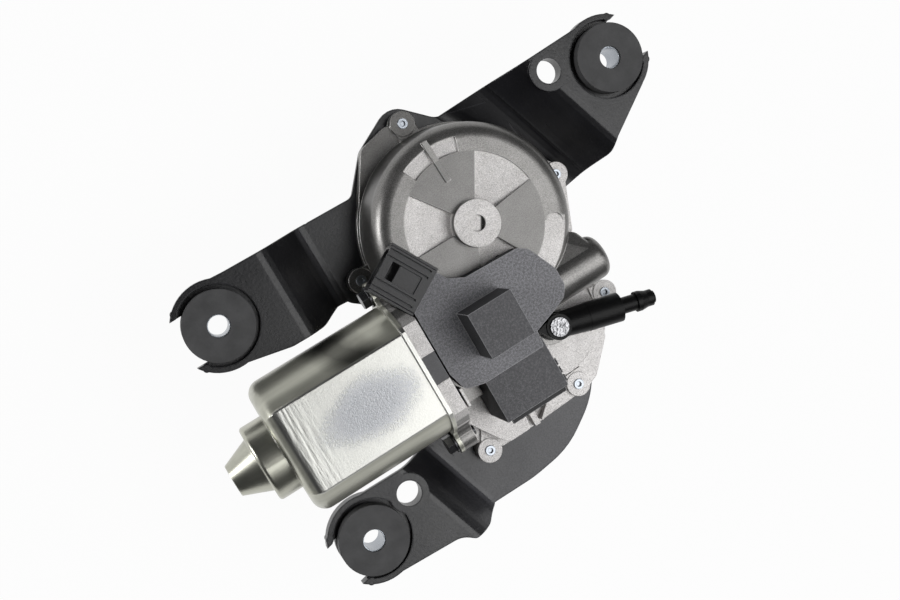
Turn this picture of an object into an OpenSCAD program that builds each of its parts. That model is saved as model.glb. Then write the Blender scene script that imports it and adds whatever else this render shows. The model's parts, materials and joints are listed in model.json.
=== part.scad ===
// Rear wiper motor: geared permanent-magnet motor on a three-point rubber-mounted bracket.
// The origin lies on the output shaft's axis, at the bracket's outer face.
// +X runs along the motor axis from the can to the gear end, and +Z points away from the wiper arm.

/* [Bracket] */
// Thickness of the bracket's steel sheet
sheet_t = 2.5; // [1.6:0.1:3.2]
// Rise of the bushing lands above the base plate
land_rise = 15; // [11:0.5:18]
// Length of the slope in the long left arm
slope_b = 24; // [18:1:28]
// Length of the slope in the lower left arm
slope_c = 18; // [14:1:22]
// Length of the slope in the right arm
slope_a = 22; // [16:1:26]
// Bushing A, right arm, X
bush_a_x = 80.3; // [76:0.1:90]
// Bushing A, right arm, Y
bush_a_y = 83.2; // [80:0.1:87]
// Bushing B, long left arm, X
bush_b_x = -116.2; // [-126:0.1:-112]
// Bushing B, long left arm, Y
bush_b_y = 70.2; // [67:0.1:74]
// Bushing C, lower left arm, X
bush_c_x = -107.8; // [-116:0.1:-104]
// Bushing C, lower left arm, Y
bush_c_y = -37; // [-41:0.1:-35]
// Radius of the round end of each arm
land_r = 18.9; // [18:0.1:21]
// Wall of the raised rim round each bushing
rim_t = 2.3; // [1.6:0.1:3]
// Depth of the pocket that the bushing sits in
pocket_depth = 3; // [1.5:0.1:4]
// Diameter of the two locating holes
locating_d = 10.6; // [8:0.1:12]

/* [Bushings] */
// Outer diameter of the rubber bushing
rubber_d = 29.2; // [26:0.1:31.5]
// Diameter of the groove that the bracket slides into
groove_d = 21; // [17:0.1:22]
// Height of the rubber above the bracket
rubber_top = 7; // [4:0.1:9]
// Height of the rubber below the bracket
rubber_low = 5.6; // [4:0.1:7]
// Bore of the steel sleeve
sleeve_bore = 8.5; // [6.5:0.1:10]
// Outer diameter of the steel sleeve
sleeve_d = 11.5; // [10.5:0.1:13]
// Depth of the sleeve's end below the rubber's top face
sleeve_sunk = 1.2; // [0.6:0.1:2]

/* [Gear housing] */
// Wheel axis from the output shaft, X
wheel_x = -9; // [-14:0.1:-4]
// Wheel axis from the output shaft, Y
wheel_y = 54; // [53:0.1:56]
// Radius of the dome at its foot
dome_r = 42.8; // [42:0.1:45]
// Height of the dome's flat top above the bracket's outer face
dome_top = 34.5; // [34:0.1:36]
// Radius of the dome's rounded rim
dome_fillet = 7; // [4:0.5:9]
// Wall of the castings
cast_wall = 2.6; // [2:0.1:3.2]
// Thickness of the housing's flange
flange_t = 3.6; // [2.5:0.1:5]
// Radius of the flange round the output shaft
shaft_flange_r = 30; // [28:0.5:32]
// Radius of the raised chamber round the output shaft
chamber_r = 23.5; // [22:0.1:25]
// Radius of the worm tunnel
tunnel_r = 9.5; // [9:0.1:10.5]
// End of the worm tunnel, X
tunnel_end = 33.8; // [32:0.1:38]
// Diameter of the hub on the dome
hub_d = 19.3; // [16:0.1:22]
// Height of the hub above the dome
hub_rise = 4; // [2:0.1:6]
// Radius of the screw ears
ear_r = 5.3; // [4.8:0.1:6]
// Height of the screw ears above the gasket
ear_h = 5.2; // [4.5:0.1:8]
// Thickness of the base cover
cover_t = 1.5; // [1:0.1:2.5]
// Thickness of the gasket
gasket_t = 0.5; // [0.3:0.1:1]

/* [Motor] */
// Motor axis from the output shaft, Y
motor_y = 15.3; // [14.5:0.1:16]
// Height of the motor axis above the bracket's outer face
motor_z = 25; // [25:0.1:26]
// Diameter of the can's round sides
can_d = 58.4; // [56:0.1:60]
// Thickness of the can across its flats
can_flats = 46.4; // [44:0.1:46.6]
// Length of the can from its flange to its closed end
can_len = 62.5; // [60:0.5:72]
// Wall of the can
can_wall = 1.8; // [1.2:0.1:2.2]
// Radius of the can's closed edge
can_fillet = 6; // [4:0.5:8]
// Diameter of the bearing cup
cup_d = 32.8; // [30:0.1:36]
// Length of the bearing cup
cup_len = 10; // [9:0.1:13]
// Length of the cone nose
nose_len = 11.7; // [10:0.1:14]
// Diameter of the armature
armature_d = 41.4; // [38:0.1:42.4]
// Length of the armature's core
core_len = 34; // [28:0.5:36]
// Diameter of the armature shaft
arm_shaft_d = 6; // [5:0.1:6.6]
// Number of armature slots
slots = 12; // [8:1:14]
// Distance of each motor screw from the motor axis
motor_screw_r = 34.5; // [33.5:0.1:36]

/* [Gears] */
// Module of the worm gear
worm_m = 1.1; // [1:0.05:1.15]
// Teeth of the worm wheel
wheel_teeth = 60; // [58:1:60]
// Face width of the worm wheel
wheel_face = 8.4; // [7:0.1:9]
// Radius of the crank
crank_r = 9; // [8.8:0.1:9.6]
// Module of the pinion and sector
sector_m = 1.5; // [1.45:0.01:1.55]
// Teeth of the output pinion
pinion_teeth = 14; // [13:1:15]
// Teeth that a full circle of the sector would have
sector_teeth = 22; // [21:1:24]
// Length of the link between its pivots
link_len = 42; // [41:0.1:44]
// Thickness of the link
link_t = 4.5; // [3.5:0.1:5]
// Crank angle at the parked position
park_angle = 95; // [90:1:100]

/* [Output shaft] */
// Diameter of the shaft at its inner end
shaft_d = 8; // [7:0.1:9]
// Diameter of the shaft in the boss
shaft_low_d = 10; // [9.2:0.1:11]
// Diameter of the boss round the shaft
boss_d = 19; // [17:0.1:22]
// Length of the boss below the bracket's outer face
boss_len = 18; // [12:0.5:24]
// Length of the shaft below the bracket's outer face
shaft_out = 42; // [38:0.5:50]
// Height of the shaft's inner end above the bracket's outer face
shaft_top = 36.2; // [36:0.1:38]

/* [Washer fitting] */
// Direction of the hose barb in plan
barb_angle = -15; // [-20:1:-10]
// Height of the hose barb's axis
barb_z = 30; // [29.6:0.1:30.4]
// Distance of the barb's tip from the shaft's axis
barb_reach = 44.7; // [42:0.1:50]
// Largest diameter of the barb
barb_d = 8.6; // [7:0.1:9.5]

/* [Electronics] */
// Height of the plastic cover's top face
cover_top = 43.5; // [43:0.1:45]
// Depth of the plastic cover's side wall
cover_side = 7.4; // [6:0.1:7.6]
// Wall of the plastic cover
cover_wall = 1.6; // [1.2:0.1:2]
// Height of the raised square above the cover
bump_h = 18; // [16:0.1:20]
// Side of the raised square
bump_w = 19.6; // [18:0.1:20.6]
// Width of the connector socket
socket_w = 21; // [20:0.1:23]
// Length of the connector socket
socket_len = 20.5; // [18:0.1:24]
// Height of the connector socket
socket_h = 10; // [9.4:0.1:10.2]
// Number of terminals in the socket
terminals = 5; // [3:1:6]

/* [Clearances] */
// Radial clearance of a running shaft
run_gap = 0.05; // [0.03:0.01:0.1]
// Gap between pieces that move past each other
move_gap = 0.3; // [0.25:0.05:0.35]
// Gap round pieces that are dropped into a pocket
pocket_gap = 0.2; // [0.1:0.05:0.25]

/* [Hidden] */
$fn = 64;
eps = 0.01;

bush_a = [bush_a_x, bush_a_y];
bush_b = [bush_b_x, bush_b_y];
bush_c = [bush_c_x, bush_c_y];
bushes = [bush_a, bush_b, bush_c];
wheel_c = [wheel_x, wheel_y];

// Heights of the stack, from the bracket's outer face upwards
cover_z = sheet_t;
gasket_z = cover_z + cover_t;
flange_z = gasket_z + gasket_t;
land_z = land_rise;
land_top = land_rise + sheet_t;
seat_top = land_top - pocket_depth;
seat_z = seat_top - sheet_t;

// Places of the six housing screws, and which of them hold the bracket too
ear_reach = 48;
ears_dome = [
  wheel_c + [0, ear_reach + 0.5], wheel_c + [ear_reach - 0.6, -2.4], wheel_c - [ear_reach, -1.4]
];
ear_e3 = [1.7, -31.3];
ear_e4 = [-46.2, -34.8];
ear_e6 = [shaft_flange_r + 1.9, -3.2];
ears_low = [ear_e3, ear_e4];
ears_long = concat(ears_dome, ears_low);
screw_r = 2.15;
screw_head_r = 4.6;
screw_head_h = 3.4;

// Motor axis stations along X
mouth_x = -57.7;
mouth_t = 1.8;
can_x = mouth_x - mouth_t - can_len + 1;
cup_x = can_x - cup_len;
nose_x = cup_x - nose_len;
flange_x = -51.5;
bell_end = -44;
can_r = can_d / 2;
half_flat = can_flats / 2;
shaft_r = arm_shaft_d / 2;

// Gear sizes
wheel_pr = worm_m * wheel_teeth / 2;
centre_dist = wheel_y - motor_y;
worm_pr = centre_dist - wheel_pr;
worm_tip = worm_pr + worm_m;
worm_root = worm_pr - 1.2 * worm_m;
wheel_tip = wheel_pr + 0.8 * worm_m;
wheel_root = wheel_pr - 1.2 * worm_m;
thread_pitch = PI * worm_m;
tooth_half = thread_pitch / 4 - 0.12;
bore_r = 8;
boss_top = 23.5;
recess_x = mouth_x + 1.7;
bore_end = tunnel_end - 7.8;
wheel_z = motor_z - wheel_face / 2;
roof_z = wheel_z + wheel_face + 0.8;
chamber_roof = 12.5;
chamber_top = chamber_roof + cast_wall;

pinion_pr = sector_m * pinion_teeth / 2;
sector_pr = sector_m * sector_teeth / 2;
guide_len = pinion_pr + sector_pr;
gear_backlash = 0.12;
link_z = 5.5;
link_top = link_z + link_t;
guide_z = link_top + move_gap;
guide_t = 1.6;
// Rest pose of the linkage, from the crank pin and the two lengths
crank_pin = wheel_c + crank_r * [cos(park_angle), sin(park_angle)];
pin_dist = norm(crank_pin);
guide_angle = atan2(crank_pin[1], crank_pin[0])
  + acos((guide_len * guide_len + pin_dist * pin_dist - link_len * link_len) / (2 * guide_len * pin_dist));
guide_c = guide_len * [cos(guide_angle), sin(guide_angle)];
link_angle = atan2(crank_pin[1] - guide_c[1], crank_pin[0] - guide_c[0]);
pivot_r = 3;

// Electronics
cover_low = cover_top - cover_side;
carrier_z = dome_top + 0.3;
carrier_t = 1.3;
board_z = carrier_z + carrier_t + 0.4;
board_t = 1.6;
socket_angle = 120;
socket_c = [-42.3, 41.9];
socket_top = cover_top + 1.5;
bump_c = [-26.1, 18.6];
low_box = [-39.4, -20.3];
low_box_size = [28.9, 22];

function unit(v) = v / norm(v);
function inset(p, d) = [
  for (i = [0 : len(p) - 1])
    let (
      a = p[(i + len(p) - 1) % len(p)], b = p[i], c = p[(i + 1) % len(p)],
      e1 = unit([b[0] - a[0], b[1] - a[1]]), e2 = unit([c[0] - b[0], c[1] - b[1]]),
      n1 = [-e1[1], e1[0]], n2 = [-e2[1], e2[0]], k = d / (1 + n1 * n2)
    )
    [b[0] + k * (n1[0] + n2[0]), b[1] + k * (n1[1] + n2[1]), b[2]]
];
// Outline through corners given as [x, y, fillet radius]
function rounded(p, n = 5) = [
  for (i = [0 : len(p) - 1])
    let (
      b = [p[i][0], p[i][1]], q = p[(i + len(p) - 1) % len(p)], s = p[(i + 1) % len(p)],
      v1 = unit([q[0], q[1]] - b), v2 = unit([s[0], s[1]] - b),
      half = acos(v1 * v2) / 2, r = p[i][2], c = b + unit(v1 + v2) * r / sin(half),
      t = r / tan(half), a1 = atan2((b + v1 * t - c)[1], (b + v1 * t - c)[0]),
      a2 = atan2((b + v2 * t - c)[1], (b + v2 * t - c)[0]), turn = (a2 - a1 + 900) % 360 - 180
    )
    for (k = [0 : r > 0 ? n : 0])
      r > 0 ? c + r * [cos(a1 + turn * k / n), sin(a1 + turn * k / n)] : b
];
// Angle swept by an involute, in degrees, from its base circle to the radius rho
function involute(base, rho) =
  rho <= base ? 0 : sqrt(pow(rho / base, 2) - 1) * 180 / PI - acos(base / rho);
// One tooth, from its right root to its left root, round the direction at
function tooth(pr, m, z, at, gap) =
  let (
    base = pr * cos(20), root = pr - 1.25 * m, tip = pr + m,
    half = 90 / z - gap / pr * 90 / PI + involute(base, pr),
    steps = [root, base + 0.05, (base + pr) / 2, pr, (pr + tip) / 2, tip]
  )
  concat(
    [for (rho = steps) rho * [cos(at - half + involute(base, rho)), sin(at - half + involute(base, rho))]],
    [for (i = [5 : -1 : 0])
      steps[i] * [cos(at + half - involute(base, steps[i])), sin(at + half - involute(base, steps[i]))]]
  );

module at(p, z = 0) translate([p[0], p[1], z]) children();
module disc(p, z0, z1, r) at(p, z0) cylinder(h = z1 - z0, r = r);
module motor_axis() translate([0, motor_y, motor_z]) children();
module rod_x(x0, x1, r) translate([x0, 0, 0]) rotate([0, 90, 0]) cylinder(h = x1 - x0, r = r);
module cone_x(x0, x1, r0, r1) translate([x0, 0, 0]) rotate([0, 90, 0]) cylinder(h = x1 - x0, r1 = r0, r2 = r1);
module block(a, b) translate(a) cube([b[0] - a[0], b[1] - a[1], b[2] - a[2]]);
module slab(points, z0, z1) translate([0, 0, z0]) linear_extrude(z1 - z0) polygon(points);

// Rod along X with one rounded end at x0
module capped_x(x0, x1, r, fillet) {
  translate([x1, 0, 0]) rotate([0, -90, 0]) rotate_extrude() {
    square([r, x1 - x0 - fillet]);
    square([r - fillet, x1 - x0]);
    translate([r - fillet, x1 - x0 - fillet]) circle(r = fillet, $fn = 32);
  }
}

base_outline = [
  [38, 40, 4], [31, 30, 12], [27, 2, 12], [17.5, -23.5, 30], [4.6, -42.2, 40], [-14.5, -54.8, 40],
  [-34, -57.4, 60],
  [-60, -57.2, 3], [-60, -21, 3], [-55.5, -18, 3], [-55.5, 42, 6], [-62, 47, 6], [-66, 50, 6],
  [-66, 87, 3], [-42, 86.6, 4], [-29.5, 101.2, 6], [-9, 112, 9.5], [6, 98, 8], [32, 92, 2]
];
arm_a_outline = [
  [28, 41.5, 1], [63.4, 47.6, 6], [68.4, 52.6, 6], [bush_a[0] + 9.8, bush_a[1] - 16.2, 1],
  [bush_a[0], bush_a[1], 0], [bush_a[0] - 4.4, bush_a[1] + land_r - 1.1, 0], [-4, 97, 1]
];
arm_b_outline = [
  [-64, 50, 0.5], [-64, 87, 0.5], [bush_b[0] + 12, 87.6, 30], [bush_b[0] + 3, bush_b[1] + land_r - 1, 1],
  [bush_b[0] + 1, bush_b[1] - land_r + 0.5, 1], [bush_b[0] + 21, bush_b[1] - 22.6, 12],
  [bush_b[0] + 37, bush_b[1] - 22.8, 10], [bush_b[0] + 46, bush_b[1] - 19.6, 4]
];
arm_c_outline = [
  [-58, -19.4, 0.5], [bush_c[0] + 1, bush_c[1] + land_r - 0.5, 1],
  [bush_c[0] + 1, bush_c[1] - land_r + 0.5, 1],
  [-76, -57.2, 10], [-71, -61.4, 3], [-62, -61.4, 5], [-54, -57.2, 3]
];

// Bent sheet seen from its side: a land, an S-shaped slope and a tail inside the base, from the origin along +X
tuck = 0.1;
module bent_strip(land_len, slope_len, base_len) {
  steps = 10;
  rise = land_rise - 0.03;
  top = concat(
    [[-40, sheet_t + rise]],
    [for (k = [0 : steps]) [land_len + slope_len * k / steps,
      sheet_t + rise * (1 + cos(180 * k / steps)) / 2]],
    [[land_len + slope_len + 2, sheet_t], [land_len + slope_len + 2, sheet_t - tuck], [base_len, sheet_t - tuck]]
  );
  low = concat(
    [[base_len, tuck], [land_len + slope_len + 2, tuck]],
    [for (i = [len(top) - 3 : -1 : 0]) [top[i][0], top[i][1] - sheet_t]]
  );
  translate([0, 90, 0]) rotate([90, 0, 0]) linear_extrude(180) polygon(concat(top, low));
}

module arm(outline, bush, open, fall, land_len, slope_len, reach) {
  difference() {
    union() {
      intersection() {
        slab(rounded(outline), -1, land_top + 1);
        at(bush) rotate([0, 0, fall]) bent_strip(land_len, slope_len, reach);
      }
      disc(bush, seat_z, land_top, land_r);
    }
    disc(bush, seat_top, land_top + 1, land_r - rim_t);
    disc(bush, seat_z - 1, land_top + 1, groove_d / 2 + pocket_gap);
    at(bush, seat_z - 1) rotate([0, 0, open])
      translate([0, -groove_d / 2, 0]) cube([land_r + 5, groove_d, 10]);
  }
  // Rolled ends of the rim
  for (side = [-1, 1])
    at(bush, seat_z) rotate([0, 0, open])
      translate([sqrt(pow(land_r - 1.2, 2) - pow(groove_d / 2 + 1.9, 2)), side * (groove_d / 2 + 1.9), 0])
        cylinder(h = land_top - seat_z, r = 1.6);
}

// Distance from each bushing to the start of its slope
land_len_a = land_r + 2.1;
land_len_b = land_r + 8.1;
land_len_c = land_r + 8.6;
locating_a = bush_a + [-25.3, 7.9];
locating_c = bush_c + [22.2, 7.7];
module locating_pad(p) {
  disc(p, land_z, land_top, locating_d / 2 + 3.2);
  disc(p, land_z - 5, land_z + eps, locating_d / 2 + 1.6);
}

module mounting_bracket() {
  color([0.09, 0.09, 0.1]) difference() {
    union() {
      slab(rounded(base_outline), 0, sheet_t);
      arm(arm_a_outline, bush_a, 15.7, 200.6, land_len_a, slope_a, 84);
      arm(arm_b_outline, bush_b, 180, 0, land_len_b, slope_b, 60);
      arm(arm_c_outline, bush_c, 193, 18, land_len_c, slope_c, 60);
      locating_pad(locating_a);
      locating_pad(locating_c);
    }
    disc([0, 0], -1, sheet_t + 1, boss_d / 2 + 0.8);
    for (p = [locating_a, locating_c]) disc(p, 0, land_top + 1, locating_d / 2);
    for (p = ears_long) disc(p, -1, sheet_t + 1, screw_r + 0.15);
  }
}

module bushing_grommets() {
  color([0.07, 0.07, 0.075]) for (p = bushes) difference() {
    union() {
      disc(p, seat_top, seat_top + rubber_top, rubber_d / 2);
      disc(p, seat_z - eps, seat_top + eps, groove_d / 2);
      disc(p, seat_z - rubber_low, seat_z, rubber_d / 2);
    }
    disc(p, seat_z - rubber_low - 1, seat_top + rubber_top - sleeve_sunk, sleeve_d / 2);
    disc(p, seat_z, seat_top + rubber_top + 1, sleeve_bore / 2 + 0.4);
  }
}

module bushing_sleeves() {
  color([0.72, 0.78, 0.84]) for (p = bushes) difference() {
    disc(p, seat_z - rubber_low - 0.5, seat_top + rubber_top - sleeve_sunk, sleeve_d / 2);
    disc(p, seat_z - rubber_low - 1, seat_top + rubber_top + 1, sleeve_bore / 2);
  }
}

// Plan outline of the flange between the ears
flange_outline = [
  [-52, -20, 4], [-49.5, -29, 4], [-40.5, -36.6, 3], [-21, -36.4, 2], [1.6, -35.2, 1.5], [10, -20, 2],
  [10, 40, 4], [-10, 97, 3],
  [-14, 105.6, 4], [-29.5, 101.6, 5], [-41, 84, 10], [-52, 61, 8]
];
// Patch of the flange that joins the right ear to the dome's foot and to the tunnel's foot
ear_patch = [
  [15, 26.5, 1], [33, 26.5, 1.5], [42, 49, 1], [41.4, 54.6, 1], [32.5, 66.5, 1], [10, 68, 2]
];
// Patch that joins the lower right ear to the flange round the output shaft
shaft_patch = [
  [-2, -26, 1], [4.5, -35.4, 1], [11, -32.8, 1.5], [23.8, -19.4, 2], [12, 0, 1]
];
module flange_plan(z0, z1, grow) {
  slab(rounded(flange_outline), z0, z1);
  slab(rounded(ear_patch), z0, z1);
  slab(rounded(shaft_patch), z0, z1);
  disc(wheel_c, z0, z1, dome_r + 0.8 + grow);
  disc([0, 0], z0, z1, shaft_flange_r + grow);
}
module ear_plan(z0, z1, r) {
  // The webs stay a little lower than the ears' spot faces
  web = z1 - z0 > 3 ? z1 - z0 - 0.4 : z1 - z0;
  for (p = ears_dome) {
    disc(p, z0, z1, r);
    at(p, z0) rotate([0, 0, atan2(wheel_c[1] - p[1], wheel_c[0] - p[0])])
      block([0, 0.7 - r, 0], [10, r - 0.7, web]);
  }
  for (p = [ear_e3, ear_e6]) {
    disc(p, z0, z1, r);
    at(p, z0) rotate([0, 0, atan2(-p[1], -p[0])]) block([0, 0.7 - r, 0], [6, r - 0.7, web]);
  }
  disc(ear_e4, z0, z1, r);
  at(ear_e4, z0) rotate([0, 0, 60]) block([0, -r * 0.75, 0], [11, r * 0.75, web]);
}

// Plan outline of the low chamber that holds the linkage
chamber_outline = [
  [-49.5, -18, 5], [-45.2, -25, 3], [-38.6, -34.8, 4], [-27.2, -34.8, 1.2], [-26.6, -28.9, 0.8],
  [-18, -28.5, 4], [-8, -24, 6], [14, -16, 4], [18, 20, 4], [-5, 50, 2],
  [-45, 50, 2], [-49.5, 40, 4]
];
module chamber(z0, z1, wall) {
  slab(rounded(inset(chamber_outline, wall)), z0, z1);
  disc([0, 0], z0, z1, chamber_r - wall);
}

module dome_solid() {
  rim = dome_r - 1.4;
  at(wheel_c) rotate_extrude($fn = 96) {
    polygon([[0, flange_z], [dome_r, flange_z], [rim, dome_top - dome_fillet], [rim - dome_fillet, dome_top],
      [0, dome_top]]);
    translate([rim - dome_fillet, dome_top - dome_fillet]) circle(r = dome_fillet, $fn = 48);
  }
  disc(wheel_c, dome_top - 1, dome_top + hub_rise, hub_d / 2);
}

// Dished sectors between the flat spokes, deepest next to the hub
sector_r = 29;
dish_depth = 2.9;
module dome_sectors() {
  for (k = [0 : 2])
    at(wheel_c) rotate([0, 0, 8 + 120 * k]) rotate_extrude(angle = 52, $fn = 96)
      polygon([[hub_d / 2 + eps, dome_top - dish_depth], [sector_r, dome_top - 0.3], [sector_r, dome_top + 1],
        [hub_d / 2 + eps, dome_top + 1]]);
  // Shallow pocket in the rim, crossed by a small rib
  at(wheel_c) rotate([0, 0, 73]) rotate_extrude(angle = 42, $fn = 96)
    translate([sector_r + 0.4, dome_top - 1.2]) square([6, 4]);
  // Lower step of the rim beside the worm tunnel, with a rounded start
  at(wheel_c) {
    rotate([0, 0, -66]) rotate_extrude(angle = 38, $fn = 96)
      translate([sector_r + 0.4, dome_top - 0.9]) square([8.8, 4]);
    rotate([0, 0, -28.8]) translate([sector_r + 4.5, 0, dome_top - 0.9]) cylinder(h = 4, r = 3.7);
  }
}

module motor_plate(x0, x1, r, flat, ear) {
  intersection() {
    rod_x(x0, x1, r);
    block([x0 - 1, -40, -flat], [x1 + 1, 40, flat]);
  }
  for (side = [-1, 1]) {
    translate([0, side * motor_screw_r, 0]) rod_x(x0, x1, ear);
    translate([x0, 0, 0]) rotate([90, 0, 90]) scale([side, 1, 1]) linear_extrude(x1 - x0)
      polygon(ear_web(r - 0.4, ear - 0.3));
  }
}
// Web between a round side of radius r and an ear, with a hollow curve above and below
function ear_web(r, ear) =
  let (
    hollow = 6, zc = ear + hollow, yc = sqrt(pow(r + hollow, 2) - zc * zc), end = 180 + atan2(zc, yc),
    top = [for (k = [0 : 6]) let (a = 270 + (end - 270) * k / 6) [yc + hollow * cos(a), zc + hollow * sin(a)]]
  )
  concat([for (i = [6 : -1 : 0]) top[i]], [for (p = top) [p[0], -p[1]]]);

tab_y = -0.2;
tab_w = 12.1;
holder_r = half_flat - can_wall - 0.4;
module gear_housing() {
  color([0.66, 0.65, 0.63]) difference() {
    union() {
      flange_plan(flange_z, flange_z + flange_t, 0);
      ear_plan(flange_z, flange_z + ear_h, ear_r);
      chamber(flange_z, chamber_top, 0);
      dome_solid();
      // Worm tunnel with its skirt, and the web that joins its end to the dome
      motor_axis() {
        mirror([1, 0, 0]) capped_x(-tunnel_end, -flange_x, tunnel_r, 4);
        block([bell_end, 0.3 - tunnel_r, chamber_roof - motor_z], [tunnel_end - 9, tunnel_r - 0.3, 0]);
      }
      hull() {
        motor_axis() rod_x(8, tunnel_end - 4, tunnel_r - 0.5, $fn = 32);
        at([tunnel_end - 10.4, motor_y + 9.6], flange_z + 1) cylinder(h = 22, r = 5.6, $fn = 32);
        at([8, motor_y + 20], flange_z + 1) cylinder(h = 22, r = 4, $fn = 32);
      }
      // Motor flange, and the block that carries it
      intersection() {
        motor_axis() motor_plate(mouth_x, flange_x, can_r + 1, half_flat - 0.6, 5.6);
        union() {
          block([flange_x - 10, -40, flange_z], [flange_x + 1, 70, 60]);
          block([flange_x - 10, -40, 0], [recess_x, 70, 60]);
        }
      }
      block([flange_x - eps, -8, flange_z], [bell_end + 4, 40, motor_z + 4]);
      block([flange_x + 1.2, -5.7, motor_z], [flange_x + 2.4, 2.4, motor_z + 20]);
      // Boss round the inner end of the output shaft, with a stiffening rib
      disc([0, 0], chamber_roof, boss_top, 8.2);
      rotate([0, 0, -150]) block([7, -1, chamber_roof], [20, 1, chamber_top + 3]);
      // Walls that stiffen the lower flange beside the link chamber
      block([-24.4, -35.9, flange_z], [-21.8, -27, chamber_roof]);
      at([-20.4, -35.2], flange_z) rotate([0, 0, 41]) block([0, -0.5, 0], [10, 0.5, 7.6]);
      at(wheel_c) rotate([0, 0, 93]) block([20, -1.2, dome_top - 2], [38.4, 1.2, dome_top + 0.9]);
    }
    difference() {
      dome_sectors();
      // Radial rib across the rim pocket
      at(wheel_c) rotate([0, 0, 93]) block([20, -1.2, dome_top - 3], [40, 1.2, dome_top + 5]);
    }
    disc(wheel_c, dome_top + hub_rise - 1.2, dome_top + hub_rise + 1, 3.3);
    // Relief in the motor flange's corner under the connector socket
    socket_frame() block([-0.5, -socket_w / 2 - 0.3, socket_top - socket_h - 0.4],
      [socket_len + 1, socket_w / 2 + 0.3, socket_top + 2]);
    // Wheel chamber, link chamber and bearing bores
    difference() {
      disc(wheel_c, flange_z - 1, roof_z, dome_r - 3.3);
      disc(wheel_c, wheel_z + wheel_face + 0.2, roof_z + 1, 6);
    }
    chamber(flange_z - 1, chamber_roof, cast_wall);
    motor_axis() {
      rod_x(recess_x - 1, bore_end, bore_r);
      rod_x(mouth_x - 1, recess_x, holder_r + 0.1);
      for (side = [-1, 1]) translate([0, side * motor_screw_r, 0]) rod_x(mouth_x - 1, flange_x + 2, 2);
      block([mouth_x - 1, tab_y - tab_w / 2, 15], [flange_x + 1, tab_y + tab_w / 2, 30]);
    }
    disc([0, 0], chamber_roof - 1, boss_top + 1, 6);
    disc(wheel_c, roof_z - 1, dome_top + 1, pivot_r);
    for (p = concat(ears_long, [ear_e6])) disc(p, flange_z - 1, flange_z + ear_h + 1, screw_r);
  }
}

module base_cover() {
  color([0.6, 0.6, 0.58]) difference() {
    union() {
      flange_plan(cover_z, gasket_z, -0.3);
      ear_plan(cover_z, gasket_z, ear_r);
      disc([0, 0], -boss_len, gasket_z, boss_d / 2);
      // Shoulder that centres the boss in the bracket's hole
      disc([0, 0], 0, gasket_z, boss_d / 2 + 0.5);
    }
    disc([0, 0], -boss_len - 1, gasket_z + 1, shaft_low_d / 2 + 1.5);
    for (p = concat(ears_long, [ear_e6])) disc(p, cover_z - 1, gasket_z + 1, screw_r + 0.1);
  }
}

module base_gasket() {
  color([0.12, 0.12, 0.12]) difference() {
    union() {
      flange_plan(gasket_z, flange_z, -0.6);
      ear_plan(gasket_z, flange_z, ear_r - 0.4);
    }
    disc(wheel_c, gasket_z - 1, flange_z + 1, dome_r - 3);
    chamber(gasket_z - 1, flange_z + 1, cast_wall - 0.3);
    for (p = concat(ears_long, [ear_e6])) disc(p, gasket_z - 1, flange_z + 1, screw_r + 0.1);
  }
}

module hex_screw(p, head_z, tip_z) {
  disc(p, head_z + screw_head_h - 0.9, head_z + screw_head_h, screw_head_r);
  at(p, head_z) cylinder(h = screw_head_h - 0.9 + eps, r = 4.2, $fn = 6);
  difference() {
    disc(p, head_z + screw_head_h - 1, tip_z, screw_r);
    disc(p, tip_z - 1.2, tip_z + 1, 1.1);
  }
}
module housing_screws() {
  color([0.7, 0.72, 0.74]) for (p = ears_long) hex_screw(p, -screw_head_h, flange_z + ear_h + 0.6);
}
module short_screw() {
  color([0.7, 0.72, 0.74]) hex_screw(ear_e6, cover_z - screw_head_h, flange_z + ear_h + 0.6);
}

module can_shell(grow) {
  w = can_wall * grow;
  intersection() {
    capped_x(can_x + w, mouth_x, can_r - w, can_fillet - w);
    // Flats, rounded at the closed end
    rotate([90, 0, 0]) translate([0, 0, -40]) linear_extrude(80) {
      translate([can_x + can_fillet, -half_flat + w])
        square([can_len + 10, can_flats - 2 * w]);
      translate([can_x + w, -half_flat + can_fillet])
        square([can_len + 10, can_flats - 2 * can_fillet]);
      for (side = [-1, 1]) translate([can_x + can_fillet, side * (half_flat - can_fillet)])
        circle(r = can_fillet - w, $fn = 32);
    }
  }
}
module motor_can() {
  color([0.78, 0.78, 0.74]) motor_axis() difference() {
    union() {
      can_shell(0);
      capped_x(cup_x, can_x + 3, cup_d / 2, 1.5);
      cone_x(nose_x, cup_x + eps, 6.8, 11.7);
      motor_plate(mouth_x - mouth_t, mouth_x, can_r + 1.4, half_flat + 1.2, 5.6);
    }
    difference() {
      can_shell(1);
      block([can_x - 1, -40, -40], [can_x + can_wall, 40, 40]);
    }
    intersection() {
      rod_x(mouth_x - 5, mouth_x + 1, can_r - can_wall);
      block([mouth_x - 6, -40, can_wall - half_flat], [mouth_x + 2, 40, half_flat - can_wall]);
    }
    capped_x(cup_x + can_wall, can_x + can_wall + 1, cup_d / 2 - can_wall, 0.6);
    rod_x(cup_x - 1, cup_x + can_wall + 1, 6.9);
    cone_x(nose_x + can_wall, cup_x - eps, 5, 9.4);
    for (side = [-1, 1]) translate([0, side * motor_screw_r, 0]) rod_x(mouth_x - 5, mouth_x + 1, 2.3);
  }
}

comm_r = 9.5;
comm_len = 9.5;
comm_x = mouth_x - comm_len + 1;
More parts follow.
